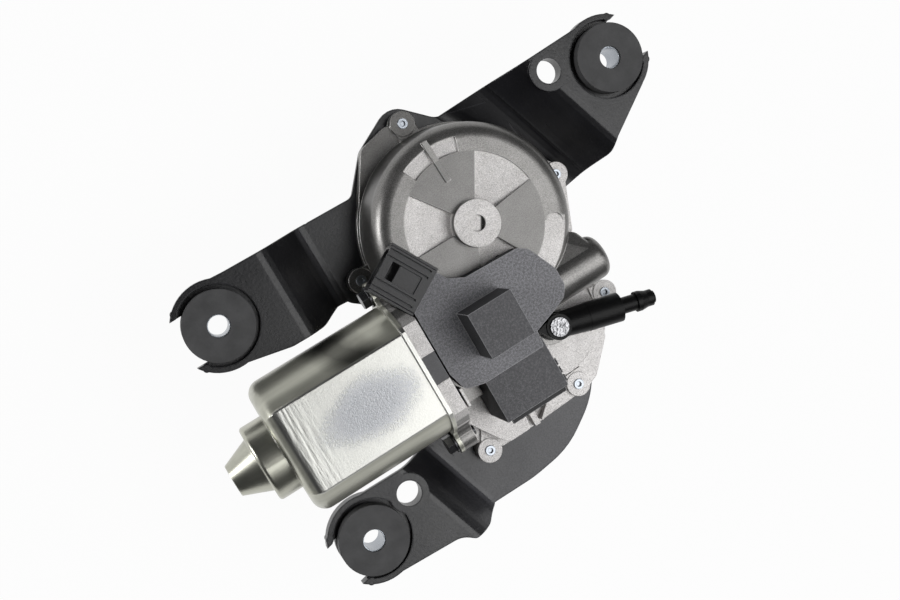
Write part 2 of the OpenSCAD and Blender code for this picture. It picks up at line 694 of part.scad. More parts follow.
// The windings' overhang fills the room between the can's closed end and the commutator
end_room = 3.8;
comm_collar = 1;
winding_h = (comm_x - comm_collar - pocket_gap - can_x - can_wall - end_room - core_len) / 2;
core_x = can_x + can_wall + end_room + winding_h;
magnet_in = armature_d / 2 + 0.6;
module field_magnets() {
  color([0.22, 0.22, 0.24]) motor_axis() intersection() {
    difference() {
      rod_x(core_x - 3, core_x + core_len + 3, can_r - can_wall - 0.02);
      rod_x(core_x - 4, core_x + core_len + 4, magnet_in);
    }
    block([can_x, -40, -15.5], [mouth_x, 40, 15.5]);
  }
}

ball_r = 8;
bearing_x = cup_x + can_wall + sqrt(pow(ball_r, 2) - pow(6.9, 2)) + 0.02;
module rear_bearing() {
  color([0.62, 0.5, 0.32]) motor_axis() difference() {
    intersection() {
      translate([bearing_x, 0, 0]) sphere(r = ball_r);
      rod_x(bearing_x - 3.9, bearing_x + 4, ball_r + 1);
    }
    rod_x(bearing_x - 9, bearing_x + 9, shaft_r + run_gap);
  }
}
retainer_x = bearing_x + 4.1;
module bearing_retainer() {
  color([0.6, 0.62, 0.64]) motor_axis() difference() {
    rod_x(retainer_x, retainer_x + 0.8, cup_d / 2 - can_wall);
    rod_x(retainer_x - 1, retainer_x + 2, 5);
    for (k = [0 : 5]) rotate([60 * k, 0, 0]) block([retainer_x - 1, -0.8, 4], [retainer_x + 2, 0.8, 11]);
  }
}
shaft_x0 = nose_x + can_wall + 1.8;
shaft_x1 = bore_end - 6;
module thrust_button() {
  color([0.85, 0.84, 0.78]) motor_axis() rod_x(nose_x + can_wall, shaft_x0 - 0.1, 4);
}
module bush_x(x0, x1) {
  color([0.62, 0.5, 0.32]) motor_axis() difference() {
    rod_x(x0, x1, bore_r);
    rod_x(x0 - 1, x1 + 1, shaft_r + run_gap);
  }
}
module front_bearing() bush_x(-41, -33);
module end_bearing() bush_x(9, 17);
end_ball_r = 2.4;
module thrust_ball() {
  color([0.8, 0.8, 0.82]) motor_axis() translate([shaft_x1 + end_ball_r + run_gap, 0, 0]) sphere(r = end_ball_r);
}
module thrust_pad() {
  color([0.85, 0.84, 0.78]) motor_axis() rod_x(shaft_x1 + 2 * end_ball_r + 2 * run_gap, bore_end, bore_r - 0.05);
}

module motor_screws() {
  color([0.35, 0.36, 0.38]) motor_axis() for (side = [-1, 1]) translate([0, side * motor_screw_r, 0]) {
    rod_x(mouth_x - mouth_t - 0.9, mouth_x - mouth_t, 4.6);
    translate([mouth_x - mouth_t - 4, 0, 0]) rotate([0, 90, 0]) cylinder(h = 3.2, r = 4, $fn = 6);
    rod_x(mouth_x - mouth_t - 1, flange_x + 1.5, 2);
  }
}

brush_x = comm_x + 2;
brush_w = 5;
module brush_holder() {
  color([0.1, 0.1, 0.11]) motor_axis() difference() {
    union() {
      rod_x(brush_x - 1.5, recess_x - 0.1, holder_r);
      block([mouth_x - 2, tab_y - tab_w / 2 + 0.1, 15.1], [mouth_x + 1, tab_y + tab_w / 2 - 0.1, 20.8]);
      block([mouth_x + 0.1, tab_y - tab_w / 2 + 0.1, 15.1], [flange_x, tab_y + tab_w / 2 - 0.1, half_flat - 0.8]);
    }
    rod_x(brush_x - 3, mouth_x + 4, comm_r + 1.6);
    // Guides that the two brushes slide in
    block([brush_x - 0.1, -19.6, -brush_w / 2 - 0.1], [brush_x + brush_w + 0.1, 19.6, brush_w / 2 + 0.1]);
  }
}
module carbon_brushes() {
  color([0.16, 0.16, 0.17]) motor_axis() for (side = [0, 180]) rotate([side, 0, 0])
    difference() {
      block([brush_x, comm_r - 1.5, -brush_w / 2], [brush_x + brush_w, comm_r + 6.5, brush_w / 2]);
      rod_x(brush_x - 1, brush_x + brush_w + 1, comm_r + run_gap);
    }
}
// Helical wire along +X between x0 and x1
module coil_x(x0, x1, r, wire, turns) {
  sides = 6;
  steps = 12 * turns;
  function ring(k) =
    let (a = 360 * turns * k / steps, x = x0 + wire + (x1 - x0 - 2 * wire) * k / steps)
    [for (j = [0 : sides - 1])
      let (b = 360 * j / sides, q = r + wire * cos(b)) [x + wire * sin(b), q * cos(a), q * sin(a)]];
  points = [for (k = [0 : steps]) each ring(k)];
  walls = [for (k = [0 : steps - 1]) for (j = [0 : sides - 1])
    let (p = k * sides + j, q = k * sides + (j + 1) % sides) [p, q, q + sides, p + sides]];
  polyhedron(points, concat([[for (j = [sides - 1 : -1 : 0]) j]], walls,
    [[for (j = [0 : sides - 1]) steps * sides + j]]), convexity = 8);
}
module brush_springs() {
  color([0.7, 0.7, 0.7]) motor_axis() for (side = [0, 180]) rotate([side, 0, 0])
    translate([brush_x + brush_w / 2, 0, 0]) rotate([0, 0, 90]) coil_x(comm_r + 6.5, 19.6, 1.7, 0.25, 4);
}

module armature_shaft() {
  color([0.7, 0.7, 0.72]) motor_axis() rod_x(shaft_x0, shaft_x1, shaft_r);
}
slot_r = armature_d / 2 - 5.4;
module armature_core() {
  color([0.45, 0.45, 0.48]) motor_axis() difference() {
    rod_x(core_x, core_x + core_len, armature_d / 2);
    rod_x(core_x - 1, core_x + core_len + 1, shaft_r);
    for (k = [0 : slots - 1]) rotate([360 * k / slots, 0, 0]) {
      translate([0, slot_r, 0]) rod_x(core_x - 1, core_x + core_len + 1, 2.6);
      block([core_x - 1, slot_r, -0.9], [core_x + core_len + 1, armature_d, 0.9]);
    }
  }
}
module armature_windings() {
  winding_r = slot_r + 2.4;
  bend = 0.35 * winding_h;
  color([0.72, 0.42, 0.2]) motor_axis() {
    for (x = [core_x - winding_h, core_x + core_len]) difference() {
      translate([x, 0, 0]) rotate([0, 90, 0]) rotate_extrude() {
        translate([6, 0]) square([winding_r - 6 - bend, winding_h]);
        for (h = [bend, winding_h - bend]) translate([winding_r - bend, h]) circle(r = bend, $fn = 24);
        translate([winding_r - bend, bend]) square([bend, winding_h - 2 * bend]);
      }
      rod_x(x - 1, x + winding_h + 1, 6.1);
    }
    for (k = [0 : slots - 1]) rotate([360 * k / slots, 0, 0])
      translate([0, slot_r, 0]) rod_x(core_x - 0.5, core_x + core_len + 0.5, 2.3);
  }
}
module commutator() {
  color([0.75, 0.45, 0.25]) motor_axis() difference() {
    union() {
      rod_x(comm_x, comm_x + comm_len, comm_r);
      rod_x(comm_x - comm_collar, comm_x + eps, 7);
    }
    rod_x(comm_x - 9, comm_x + comm_len + 1, shaft_r);
    for (k = [0 : slots - 1]) rotate([360 * (k + 0.5) / slots, 0, 0])
      block([comm_x - 1, comm_r - 1.4, -0.25], [comm_x + comm_len + 1, comm_r + 1, 0.25]);
  }
}

worm_half = 4.2 * thread_pitch;
worm_x0 = wheel_x - worm_half;
worm_x1 = wheel_x + worm_half;
module worm() {
  per_turn = 20;
  turns = floor((worm_x1 - worm_x0 - 4) / thread_pitch);
  steps = per_turn * turns;
  // The thread passes the wheel's middle plane on its centre line
  start = -per_turn * turns / 2;
  thread = [
    [worm_root - 0.4, -tooth_half - 0.52 * worm_m], [worm_tip, -tooth_half + 0.34 * worm_m],
    [worm_tip, tooth_half - 0.34 * worm_m], [worm_root - 0.4, tooth_half + 0.52 * worm_m]
  ];
  points = [for (k = [0 : steps]) for (p = thread)
    let (a = 360 * (start + k) / per_turn)
    [wheel_x + thread_pitch * (start + k) / per_turn + p[1], p[0] * cos(a), p[0] * sin(a)]];
  walls = [for (k = [0 : steps - 1]) for (j = [0 : 3])
    let (a = 4 * k + j, b = 4 * k + (j + 1) % 4) each [[a, b, b + 4], [a, b + 4, a + 4]]];
  color([0.55, 0.56, 0.58]) motor_axis() difference() {
    union() {
      rod_x(worm_x0, worm_x1, worm_root);
      polyhedron(points, concat([[3, 2, 1, 0]], walls, [[for (j = [0 : 3]) 4 * steps + j]]), convexity = 10);
    }
    rod_x(worm_x0 - 1, worm_x1 + 1, shaft_r);
  }
}

module worm_wheel() {
  step = 360 / wheel_teeth;
  root_half = (tooth_half + 0.36 * worm_m) / wheel_root * 180 / PI;
  tip_half = (tooth_half - 0.28 * worm_m) / wheel_tip * 180 / PI;
  // A gap faces the worm, so the first tooth is half a step round from it
  outline = [for (k = [0 : wheel_teeth - 1]) let (a = -90 + step * (k + 0.5))
    each [
      wheel_root * [cos(a - root_half), sin(a - root_half)], wheel_tip * [cos(a - tip_half), sin(a - tip_half)],
      wheel_tip * [cos(a + tip_half), sin(a + tip_half)], wheel_root * [cos(a + root_half), sin(a + root_half)]
    ]];
  color([0.86, 0.84, 0.76]) difference() {
    union() {
      at(wheel_c, wheel_z) linear_extrude(wheel_face) polygon(outline);
      disc(wheel_c, wheel_z - 2.5, wheel_z + 1, 5);
    }
    // Recesses between the rim and the hub, with six ribs left standing
    for (k = [0 : 5]) at(wheel_c) rotate([0, 0, park_angle + 30 + 60 * k])
      rotate_extrude(angle = 48) for (z = [wheel_z - 1, wheel_z + wheel_face - 2.4])
        translate([wheel_root / 2, z]) square([wheel_root - 3.5 - wheel_root / 2, 3.4]);
    disc(wheel_c, wheel_z - 5, roof_z, pivot_r + run_gap);
    disc(crank_pin, wheel_z - 1, wheel_z + 6, 2.8);
  }
}
module wheel_pin() {
  color([0.7, 0.7, 0.72]) difference() {
    disc(wheel_c, wheel_z - 5, dome_top + 0.8, pivot_r);
    at(wheel_c, wheel_z - 3.6) difference() {
      cylinder(h = 0.8, r = pivot_r + 1);
      translate([0, 0, -1]) cylinder(h = 3, r = pivot_r - 0.6);
    }
  }
}
module wheel_clip() {
  color([0.3, 0.3, 0.32]) at(wheel_c, wheel_z - 3.6) difference() {
    cylinder(h = 0.8, r = 5.2);
    translate([0, 0, -1]) cylinder(h = 3, r = pivot_r - 0.6);
    block([0, -1.6, -1], [8, 1.6, 3]);
  }
}
module crank_pin() {
  color([0.7, 0.7, 0.72]) disc(crank_pin, link_top + move_gap, wheel_z + 6, 2.8);
}
module park_ring() {
  color([0.8, 0.68, 0.36]) at(wheel_c, wheel_z - 0.4) difference() {
    cylinder(h = 0.4, r = wheel_pr - 2);
    translate([0, 0, -1]) cylinder(h = 3, r = wheel_pr - 4.4);
    rotate([0, 0, 40]) block([0, -3, -1], [40, 3, 3]);
  }
}
module park_switch() {
  color([0.12, 0.12, 0.13]) at(wheel_c + (wheel_pr - 3.2) * [cos(50), sin(50)], gasket_z) {
    block([-4, -3, 0], [4, 3, 9]);
    for (x = [-2.6, 0, 2.6]) block([x - 0.6, -1, 8.9], [x + 0.6, 1, wheel_z - 0.4 - move_gap - gasket_z]);
  }
}

module sector_link() {
  first = -1;
  last = 5;
  step = 360 / sector_teeth;
  facing = guide_angle + 180;
  teeth = [for (k = [first : last]) each tooth(sector_pr, sector_m, sector_teeth, facing + step * k, gear_backlash)];
  color([0.6, 0.6, 0.62]) difference() {
    union() {
      at(guide_c, link_z) linear_extrude(link_t) polygon(concat(teeth, [[0, 0]]));
      disc(guide_c, link_z, link_top, 7);
      disc(crank_pin, link_z, link_top, 6);
      at(guide_c, link_z) rotate([0, 0, link_angle]) block([0, -4.5, 0], [link_len, 4.5, link_t]);
    }
    disc(guide_c, link_z - 1, link_top + 1, pivot_r + run_gap);
    disc(crank_pin, link_z - 1, link_top + 1, 2.8 + run_gap);
    // Lightening hole in the link's web
    at(guide_c, link_z - 1) rotate([0, 0, link_angle]) translate([link_len / 2, 0, 0]) cylinder(h = 9, r = 2.4);
  }
}
module guide_plate() {
  color([0.62, 0.63, 0.65]) difference() {
    union() {
      disc([0, 0], guide_z, guide_z + guide_t, 8);
      disc(guide_c, guide_z, guide_z + guide_t, 6);
      at([0, 0], guide_z) rotate([0, 0, guide_angle]) block([0, -5, 0], [guide_len, 5, guide_t]);
    }
    disc([0, 0], guide_z - 1, guide_z + 3, shaft_d / 2 + run_gap);
    disc(guide_c, guide_z - 1, guide_z + 3, pivot_r);
  }
}
module guide_pin() {
  color([0.7, 0.7, 0.72]) {
    disc(guide_c, gasket_z + move_gap, link_z - 0.1, 4.6);
    disc(guide_c, link_z - 0.1 - eps, guide_z + guide_t, pivot_r);
  }
}

pinion_z = link_z - 0.5;
pinion_top = link_top;
module output_pinion() {
  step = 360 / pinion_teeth;
  teeth = [for (k = [0 : pinion_teeth - 1])
    each tooth(pinion_pr, sector_m, pinion_teeth, guide_angle + step * (k + 0.5), gear_backlash)];
  color([0.6, 0.6, 0.62]) difference() {
    slab(teeth, pinion_z, pinion_top);
    disc([0, 0], pinion_z - 1, pinion_top + 1, shaft_d / 2);
  }
}
thread_r = 3.4;
module output_shaft() {
  cone_top = -boss_len - 5;
  color([0.75, 0.76, 0.78]) difference() {
    union() {
      disc([0, 0], -boss_len - 2, pinion_z, shaft_low_d / 2);
      disc([0, 0], pinion_z - eps, shaft_top, shaft_d / 2);
      disc([0, 0], cone_top, -boss_len - 2 + eps, shaft_low_d / 2 - 0.6);
      // Knurled cone that the wiper arm presses onto, and the thread below it
      at([0, 0], cone_top - 7) cylinder(h = 7 + eps, r1 = 4.1, r2 = shaft_low_d / 2 - 0.6);
      disc([0, 0], -shaft_out + 0.8, cone_top - 7 + eps, thread_r);
      at([0, 0], -shaft_out) cylinder(h = 0.8 + eps, r1 = thread_r - 0.8, r2 = thread_r);
    }
    for (k = [0 : 23]) rotate([0, 0, 15 * k]) translate([0, 0, cone_top - 7.5])
      rotate([-2, 0, 0]) translate([0, 4.25, 0]) rotate([0, 0, 45]) cube([0.5, 0.5, 7]);
    for (k = [0 : 5]) at([0, 0], -shaft_out + 1.6 + 1.25 * k) difference() {
      cylinder(h = 0.6, r = 5);
      translate([0, 0, -1]) cylinder(h = 3, r = thread_r - 0.5);
    }
    disc([0, 0], -shaft_out - 1, shaft_top - 2, 1.6);
    disc([0, 0], -boss_len - 0.9, -boss_len - 0.1, shaft_low_d / 2 + 1);
  }
  // Core that closes the groove of the circlip
  color([0.75, 0.76, 0.78]) difference() {
    disc([0, 0], -boss_len - 1, -boss_len, shaft_low_d / 2 - 0.7);
    disc([0, 0], -boss_len - 2, -boss_len + 1, 1.6);
  }
}
module upper_bush() {
  color([0.62, 0.5, 0.32]) difference() {
    disc([0, 0], chamber_roof + 0.2, boss_top - 2.2, 6);
    disc([0, 0], chamber_roof - 1, boss_top, shaft_d / 2 + run_gap);
  }
}
module lower_bush() {
  color([0.62, 0.5, 0.32]) difference() {
    disc([0, 0], -boss_len + 0.2, 3, shaft_low_d / 2 + 1.5);
    disc([0, 0], -boss_len - 1, 4, shaft_low_d / 2 + run_gap);
  }
}
module shaft_seal() {
  color([0.1, 0.1, 0.1]) difference() {
    disc([0, 0], boss_top - 2.1, boss_top - 0.2, 6);
    disc([0, 0], boss_top - 3, boss_top + 1, shaft_d / 2 + run_gap);
  }
}
module shaft_circlip() {
  color([0.3, 0.3, 0.32]) at([0, 0], -boss_len - 0.9) difference() {
    cylinder(h = 0.8, r = shaft_low_d / 2 + 1.6);
    translate([0, 0, -1]) cylinder(h = 3, r = shaft_low_d / 2 - 0.7);
    block([0, -2, -1], [9, 2, 3]);
  }
}

ring_z0 = boss_top;
module washer_fitting() {
  color([0.06, 0.06, 0.065]) difference() {
    union() {
      disc([0, 0], ring_z0, barb_z + 5.4, 5.4);
      rotate([0, 0, barb_angle + 176]) slab([[9.3, 0], [2, 4.8], [2, -4.8]], barb_z - 2, barb_z + 4.9);
      translate([0, 0, barb_z]) rotate([0, 0, barb_angle]) {
        cone_x(0, 14, 5.3, 6);
        cone_x(14 - eps, barb_reach - 15.9, 6.1, 6.2);
        rod_x(barb_reach - 16, barb_reach - 1, 3.5);
        rod_x(barb_reach - 8.4, barb_reach - 6.4, barb_d / 2);
        cone_x(barb_reach - 6.4 - eps, barb_reach, barb_d / 2, 2.6);
      }
    }
    disc([0, 0], ring_z0 - 1, barb_z + 7, shaft_d / 2 + run_gap);
    translate([0, 0, barb_z]) rotate([0, 0, barb_angle]) rod_x(shaft_d / 2, barb_reach + 1, 1.5);
    translate([0, 0, ring_z0 - 1]) cylinder(h = 2.6, r = 4.9);
  }
}
module washer_seal() {
  color([0.1, 0.1, 0.1]) difference() {
    disc([0, 0], ring_z0 + 0.1, ring_z0 + 1.5, 4.85);
    disc([0, 0], ring_z0 - 1, ring_z0 + 3, shaft_d / 2 + run_gap);
  }
}

// Plan outline of the plastic cover, counter-clockwise from the corner next to the shaft
cover_outline = [
  [-0.4, 8.6, 3], [5.4, 11, 3], [8.4, 15, 4], [8.4, 23, 6], [2.4, 35.4, 4], [-1.6, 38, 3], [-25.5, 38.8, 1.5],
  [-32, 42.2, 1], [-34.4, 46.4, 0.6], [-50.2, 37.2, 0.6], [-50.2, 9, 1], [-47.8, 0.8, 3], [-40, -1.4, 1],
  [-11.6, -1.4, 0.6], [-10.8, 5.2, 0.6]
];
module electronics_cover() {
  inner = inset(cover_outline, cover_wall);
  bump_r = bump_w / 2;
  color([0.2, 0.2, 0.21]) difference() {
    union() {
      slab(rounded(cover_outline), cover_low, cover_top);
      at(bump_c, cover_top - 1) block([-bump_r, -bump_r, 0], [bump_r, bump_r, bump_h + 1]);
      translate([low_box[0], low_box[1], chamber_top + 1])
        cube([low_box_size[0], low_box_size[1], cover_top - 0.6 - chamber_top - 1]);
      // Foot rim of the low box, and the tongues along its right edge
      translate([low_box[0] + 3, low_box[1] - 3.4, cover_low - 1.3]) cube([low_box_size[0] - 3, 3.5, 1.4]);
      for (k = [0 : 2]) translate([low_box[0] + low_box_size[0] - eps, low_box[1] + 0.4 + 3.7 * k, cover_low - 1.3])
        cube([2.2, 2.5, 2.2]);
    }
    slab(rounded(inner), cover_low - 1, cover_top - cover_wall);
    at(bump_c, cover_low) block([-bump_r + cover_wall, -bump_r + cover_wall, 0],
      [bump_r - cover_wall, bump_r - cover_wall, cover_top - cover_low + bump_h - cover_wall]);
    translate([low_box[0] + cover_wall, low_box[1] + cover_wall, chamber_top])
      cube([low_box_size[0] - 2 * cover_wall, low_box_size[1] + 0.5, cover_top - chamber_top - 2.2]);
    // Clip notch in the edge
    translate([-17.4, 37.2, cover_low - 1]) cube([6, 4, 4.4]);
    translate([low_box[0] - 1, low_box[1] + low_box_size[1] - 2, chamber_top]) cube([low_box_size[0] + 2, 3, cover_low - chamber_top]);
  }
}
module electronics_carrier() {
  color([0.08, 0.08, 0.085]) difference() {
    union() {
      slab(rounded(inset(cover_outline, cover_wall + pocket_gap)), carrier_z, carrier_z + carrier_t);
      translate([low_box[0] + cover_wall + 0.2, low_box[1] + cover_wall + 0.2, carrier_z])
        cube([low_box_size[0] - 2 * cover_wall - 0.4, low_box_size[1], carrier_t]);
      // Feet that stand on the housing
      for (x = [cover_wall + 3.2, low_box_size[0] - cover_wall - 3.3])
        disc([low_box[0] + x, low_box[1] + 5.3], chamber_top, carrier_z + eps, 2.2);
      for (p = [[-8, 36.4], [-30, 36]]) disc(p, dome_top, carrier_z + eps, 2);
    }
    disc([-45, 14], carrier_z - 1, carrier_z + 3, 1.2);
  }
}
module circuit_board() {
  color([0.1, 0.32, 0.18]) difference() {
    slab(rounded(inset(cover_outline, cover_wall + 1.2)), board_z, board_z + board_t);
    for (p = [[-45, 14], [-45, 33], [2, 20]]) disc(p, board_z - 1, board_z + 3, 1.2);
  }
}
module relay() {
  w = bump_w / 2 - cover_wall - 0.6;
  color([0.15, 0.16, 0.3]) at(bump_c, board_z + board_t) block([-w, -w, 0], [w, w, bump_h - 1]);
}
module capacitor() {
  color([0.12, 0.14, 0.2]) disc([low_box[0] + 14, low_box[1] + 9], chamber_top + 2, carrier_z, 5);
}

module socket_frame() at(socket_c) rotate([0, 0, socket_angle]) children();
module connector_socket() {
  h0 = socket_top - socket_h;
  cav = 14;
  half = socket_w / 2;
  color([0.07, 0.07, 0.075]) difference() {
    union() {
      socket_frame() {
        block([0.1, -half + 1.2, h0], [socket_len, half - 1.2, socket_top]);
        // Lengthwise ribs on the socket's top face and its flanges
        for (y = [-half, half - 1]) block([0.1, y, h0 + 1], [socket_len, y + 1, socket_top - 0.6]);
        block([socket_len - 2, -half, h0], [socket_len - 0.6, half, socket_top - 0.9]);
      }
    }
    socket_frame() {
      block([socket_len - cav, -half + 2.8, h0 + 1.4], [socket_len + 1, half - 2.8, socket_top - 1.6]);
      // Latch window
      block([socket_len - 6.8, -4.2, socket_top - 3], [socket_len - 3.3, 3.2, socket_top + 1]);
      // Sunken tongue behind the window, and the grooves between the rails
      block([4, -4.2, socket_top - 0.8], [socket_len - 6.7, 3.2, socket_top + 1]);
      for (y = [-8.4, -5.6, 4.4, 7.4]) block([2, y, socket_top - 1.1], [socket_len + 1, y + 0.7, socket_top + 1]);
      pin_slots(0.02);
    }
  }
}
module pin_slots(grow) {
  pitch = (socket_w - 9) / (terminals - 1);
  for (k = [0 : terminals - 1])
    translate([0, -(socket_w - 9) / 2 + pitch * k, socket_top - socket_h / 2 - 0.3])
      block([-0.5, -0.5 - grow, -0.4 - grow], [socket_len - 8, 0.5 + grow, 0.4 + grow]);
}
module terminal_pins() {
  color([0.8, 0.7, 0.4]) intersection() {
    socket_frame() pin_slots(0);
    socket_frame() block([0.1, -20, 0], [socket_len, 20, 60]);
  }
}

mounting_bracket();
bushing_grommets();
bushing_sleeves();
gear_housing();
base_cover();
base_gasket();
housing_screws();
short_screw();
motor_can();
field_magnets();
rear_bearing();
bearing_retainer();
thrust_button();
front_bearing();
end_bearing();
thrust_ball();
thrust_pad();
motor_screws();
brush_holder();
carbon_brushes();
brush_springs();
armature_shaft();
armature_core();
armature_windings();
commutator();
worm();
worm_wheel();
wheel_pin();
wheel_clip();
crank_pin();
park_ring();
park_switch();
sector_link();
guide_plate();
guide_pin();
output_pinion();
output_shaft();
upper_bush();
lower_bush();
shaft_seal();
shaft_circlip();
washer_fitting();
washer_seal();
electronics_carrier();
circuit_board();
relay();
capacitor();
electronics_cover();
connector_socket();
terminal_pins();
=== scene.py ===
"""Looks of a rear wiper motor: finishes, small details, camera and soft studio light."""

import json
import logging
import math
from dataclasses import dataclass
from enum import Enum
from typing import Any, Protocol

import bpy
from mathutils import Matrix, Vector

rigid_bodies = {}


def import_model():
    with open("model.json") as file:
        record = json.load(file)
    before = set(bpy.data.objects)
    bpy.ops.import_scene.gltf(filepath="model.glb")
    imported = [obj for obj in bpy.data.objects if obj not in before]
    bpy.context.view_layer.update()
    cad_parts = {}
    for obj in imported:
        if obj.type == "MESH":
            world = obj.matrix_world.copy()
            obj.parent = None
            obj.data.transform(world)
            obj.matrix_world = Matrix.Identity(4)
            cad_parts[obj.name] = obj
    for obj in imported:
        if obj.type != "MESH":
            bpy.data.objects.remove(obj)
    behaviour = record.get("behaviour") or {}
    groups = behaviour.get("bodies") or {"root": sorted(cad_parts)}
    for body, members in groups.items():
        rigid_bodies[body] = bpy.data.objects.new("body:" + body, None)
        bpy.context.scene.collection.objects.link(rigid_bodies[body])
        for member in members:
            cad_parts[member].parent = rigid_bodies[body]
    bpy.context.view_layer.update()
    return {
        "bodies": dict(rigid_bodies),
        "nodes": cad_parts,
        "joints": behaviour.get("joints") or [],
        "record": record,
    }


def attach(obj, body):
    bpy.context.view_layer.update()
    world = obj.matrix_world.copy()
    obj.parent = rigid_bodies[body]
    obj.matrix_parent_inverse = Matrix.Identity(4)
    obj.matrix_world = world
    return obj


LOG = logging.getLogger("wiper_motor")

Colour = tuple[float, float, float]
Point = tuple[float, float, float]
Pair = tuple[float, float]

# Direction in the bracket's plane that the camera sees as the lower right, where the light falls
LIT_SIDE: Pair = (0.6, -0.8)


class Body(Enum):
    """The rigid bodies that pieces ride on."""

    FRAME = "frame"
    ARMATURE = "armature"
    WHEEL = "wheel"
    GUIDE = "guide"
    SECTOR = "sector"
    OUTPUT = "output"


class Grain(Enum):
    """How a surface's fine grain runs, as the stretch of its noise along each axis."""

    EVEN = (1.0, 1.0, 1.0)
    ALONG_X = (0.06, 1.0, 1.0)
    TURNED_Z = (0.15, 0.15, 1.6)


class Finish(Protocol):
    """Anything that makes a material."""

    def make(self) -> bpy.types.Material:
        """Builds the material."""


def socket_of(node: bpy.types.Node, key: str) -> bpy.types.NodeSocket:
    """Finds a node's input.

    Args:
        node: the node.
        key: the socket's name with _ for a space, or n and its number, as in n1.

    Returns:
        The input socket.
    """
    if key[0] == "n" and key[1:].isdigit():
        return node.inputs[int(key[1:])]
    return node.inputs[key.replace("_", " ")]


def fill(tree: bpy.types.NodeTree, target: bpy.types.NodeSocket, value: Any) -> None:
    """Links a value to an input, or sets the input to it.

    Args:
        tree: the node tree.
        target: the input socket.
        value: a wrapped socket, a socket or a plain value.
    """
    if isinstance(value, Value):
        value = value.socket
    if isinstance(value, bpy.types.NodeSocket):
        tree.links.new(value, target)
    else:
        target.default_value = value


def add_node(tree: bpy.types.NodeTree, kind: str, settings: dict[str, Any] | None,
             sockets: dict[str, Any]) -> bpy.types.Node:
    """Adds a node, sets it up, and then fills its sockets.

    Args:
        tree: the node tree.
        kind: the node's type.
        settings: its own settings, set first.
        sockets: values or links by socket key.

    Returns:
        The node.
    """
    made = tree.nodes.new(kind)
    for key, value in (settings or {}).items():
        setattr(made, key, value)
    for key, value in sockets.items():
        fill(tree, socket_of(made, key), value)
    return made


def rgba(value: Any) -> Any:
    """A colour with full alpha, or a colour socket as it is."""
    return value if isinstance(value, bpy.types.NodeSocket) else (*value, 1.0)


class Value:
    """A number socket that adds Math nodes when it is used in an expression."""

    def __init__(self, tree: bpy.types.NodeTree, socket: bpy.types.NodeSocket) -> None:
        """Wraps one output socket.

        Args:
            tree: the node tree that the socket is in.
            socket: the output socket.
        """
        self.tree = tree
        self.socket = socket

    def _math(self, operation: str, *terms: "Value | float", clamp: bool = False) -> "Value":
        """Adds one Math node.

        Args:
            operation: the node's operation.
            terms: its inputs in order, as values or numbers.
            clamp: whether the result is held between 0 and 1.

        Returns:
            The node's output.
        """
        settings = {"operation": operation, "use_clamp": clamp}
        inputs = {f"n{place}": term for place, term in enumerate(terms)}
        return Value(self.tree, add_node(self.tree, "ShaderNodeMath", settings, inputs).outputs[0])

    def __add__(self, other: "Value | float") -> "Value":
        """Adds."""
        return self._math("ADD", self, other)

    __radd__ = __add__

    def __sub__(self, other: "Value | float") -> "Value":
        """Subtracts."""
        return self._math("SUBTRACT", self, other)

    def __rsub__(self, other: "Value | float") -> "Value":
        """Subtracts from a number."""
        return self._math("SUBTRACT", other, self)

    def __mul__(self, other: "Value | float") -> "Value":
        """Multiplies."""
        return self._math("MULTIPLY", self, other)

    __rmul__ = __mul__

    def __truediv__(self, other: "Value | float") -> "Value":
        """Divides."""
        return self._math("DIVIDE", self, other)

    def __pow__(self, other: "Value | float") -> "Value":
        """Raises to a power."""
        return self._math("POWER", self, other)

    def above(self, edge: float, soft: float) -> "Value":
        """A mask that rises from 0 to 1 round an edge.

        Args:
            edge: the middle of the rise.
            soft: the rise's width.

        Returns:
            The mask.
        """
        return ((self - edge) / soft + 0.5).at_most_one()

    def between(self, low: float, high: float, soft: float) -> "Value":
        """A mask that is 1 between two edges.

        Args:
            low: the lower edge.
            high: the upper edge.
            soft: the width of the rise at each edge.

        Returns:
            The mask.
        """
        return self.above(low, soft) * (1 - self.above(high, soft))

    def at_most_one(self) -> "Value":
        """Holds the value between 0 and 1."""
        return self._math("ADD", self, 0.0, clamp=True)


def length(x: Value, y: Value) -> Value:
    """The distance of a point from the origin of a plane.

    Args:
        x: the point's first coordinate.
        y: its second coordinate.

    Returns:
        The distance.
    """
    return (x * x + y * y) ** 0.5


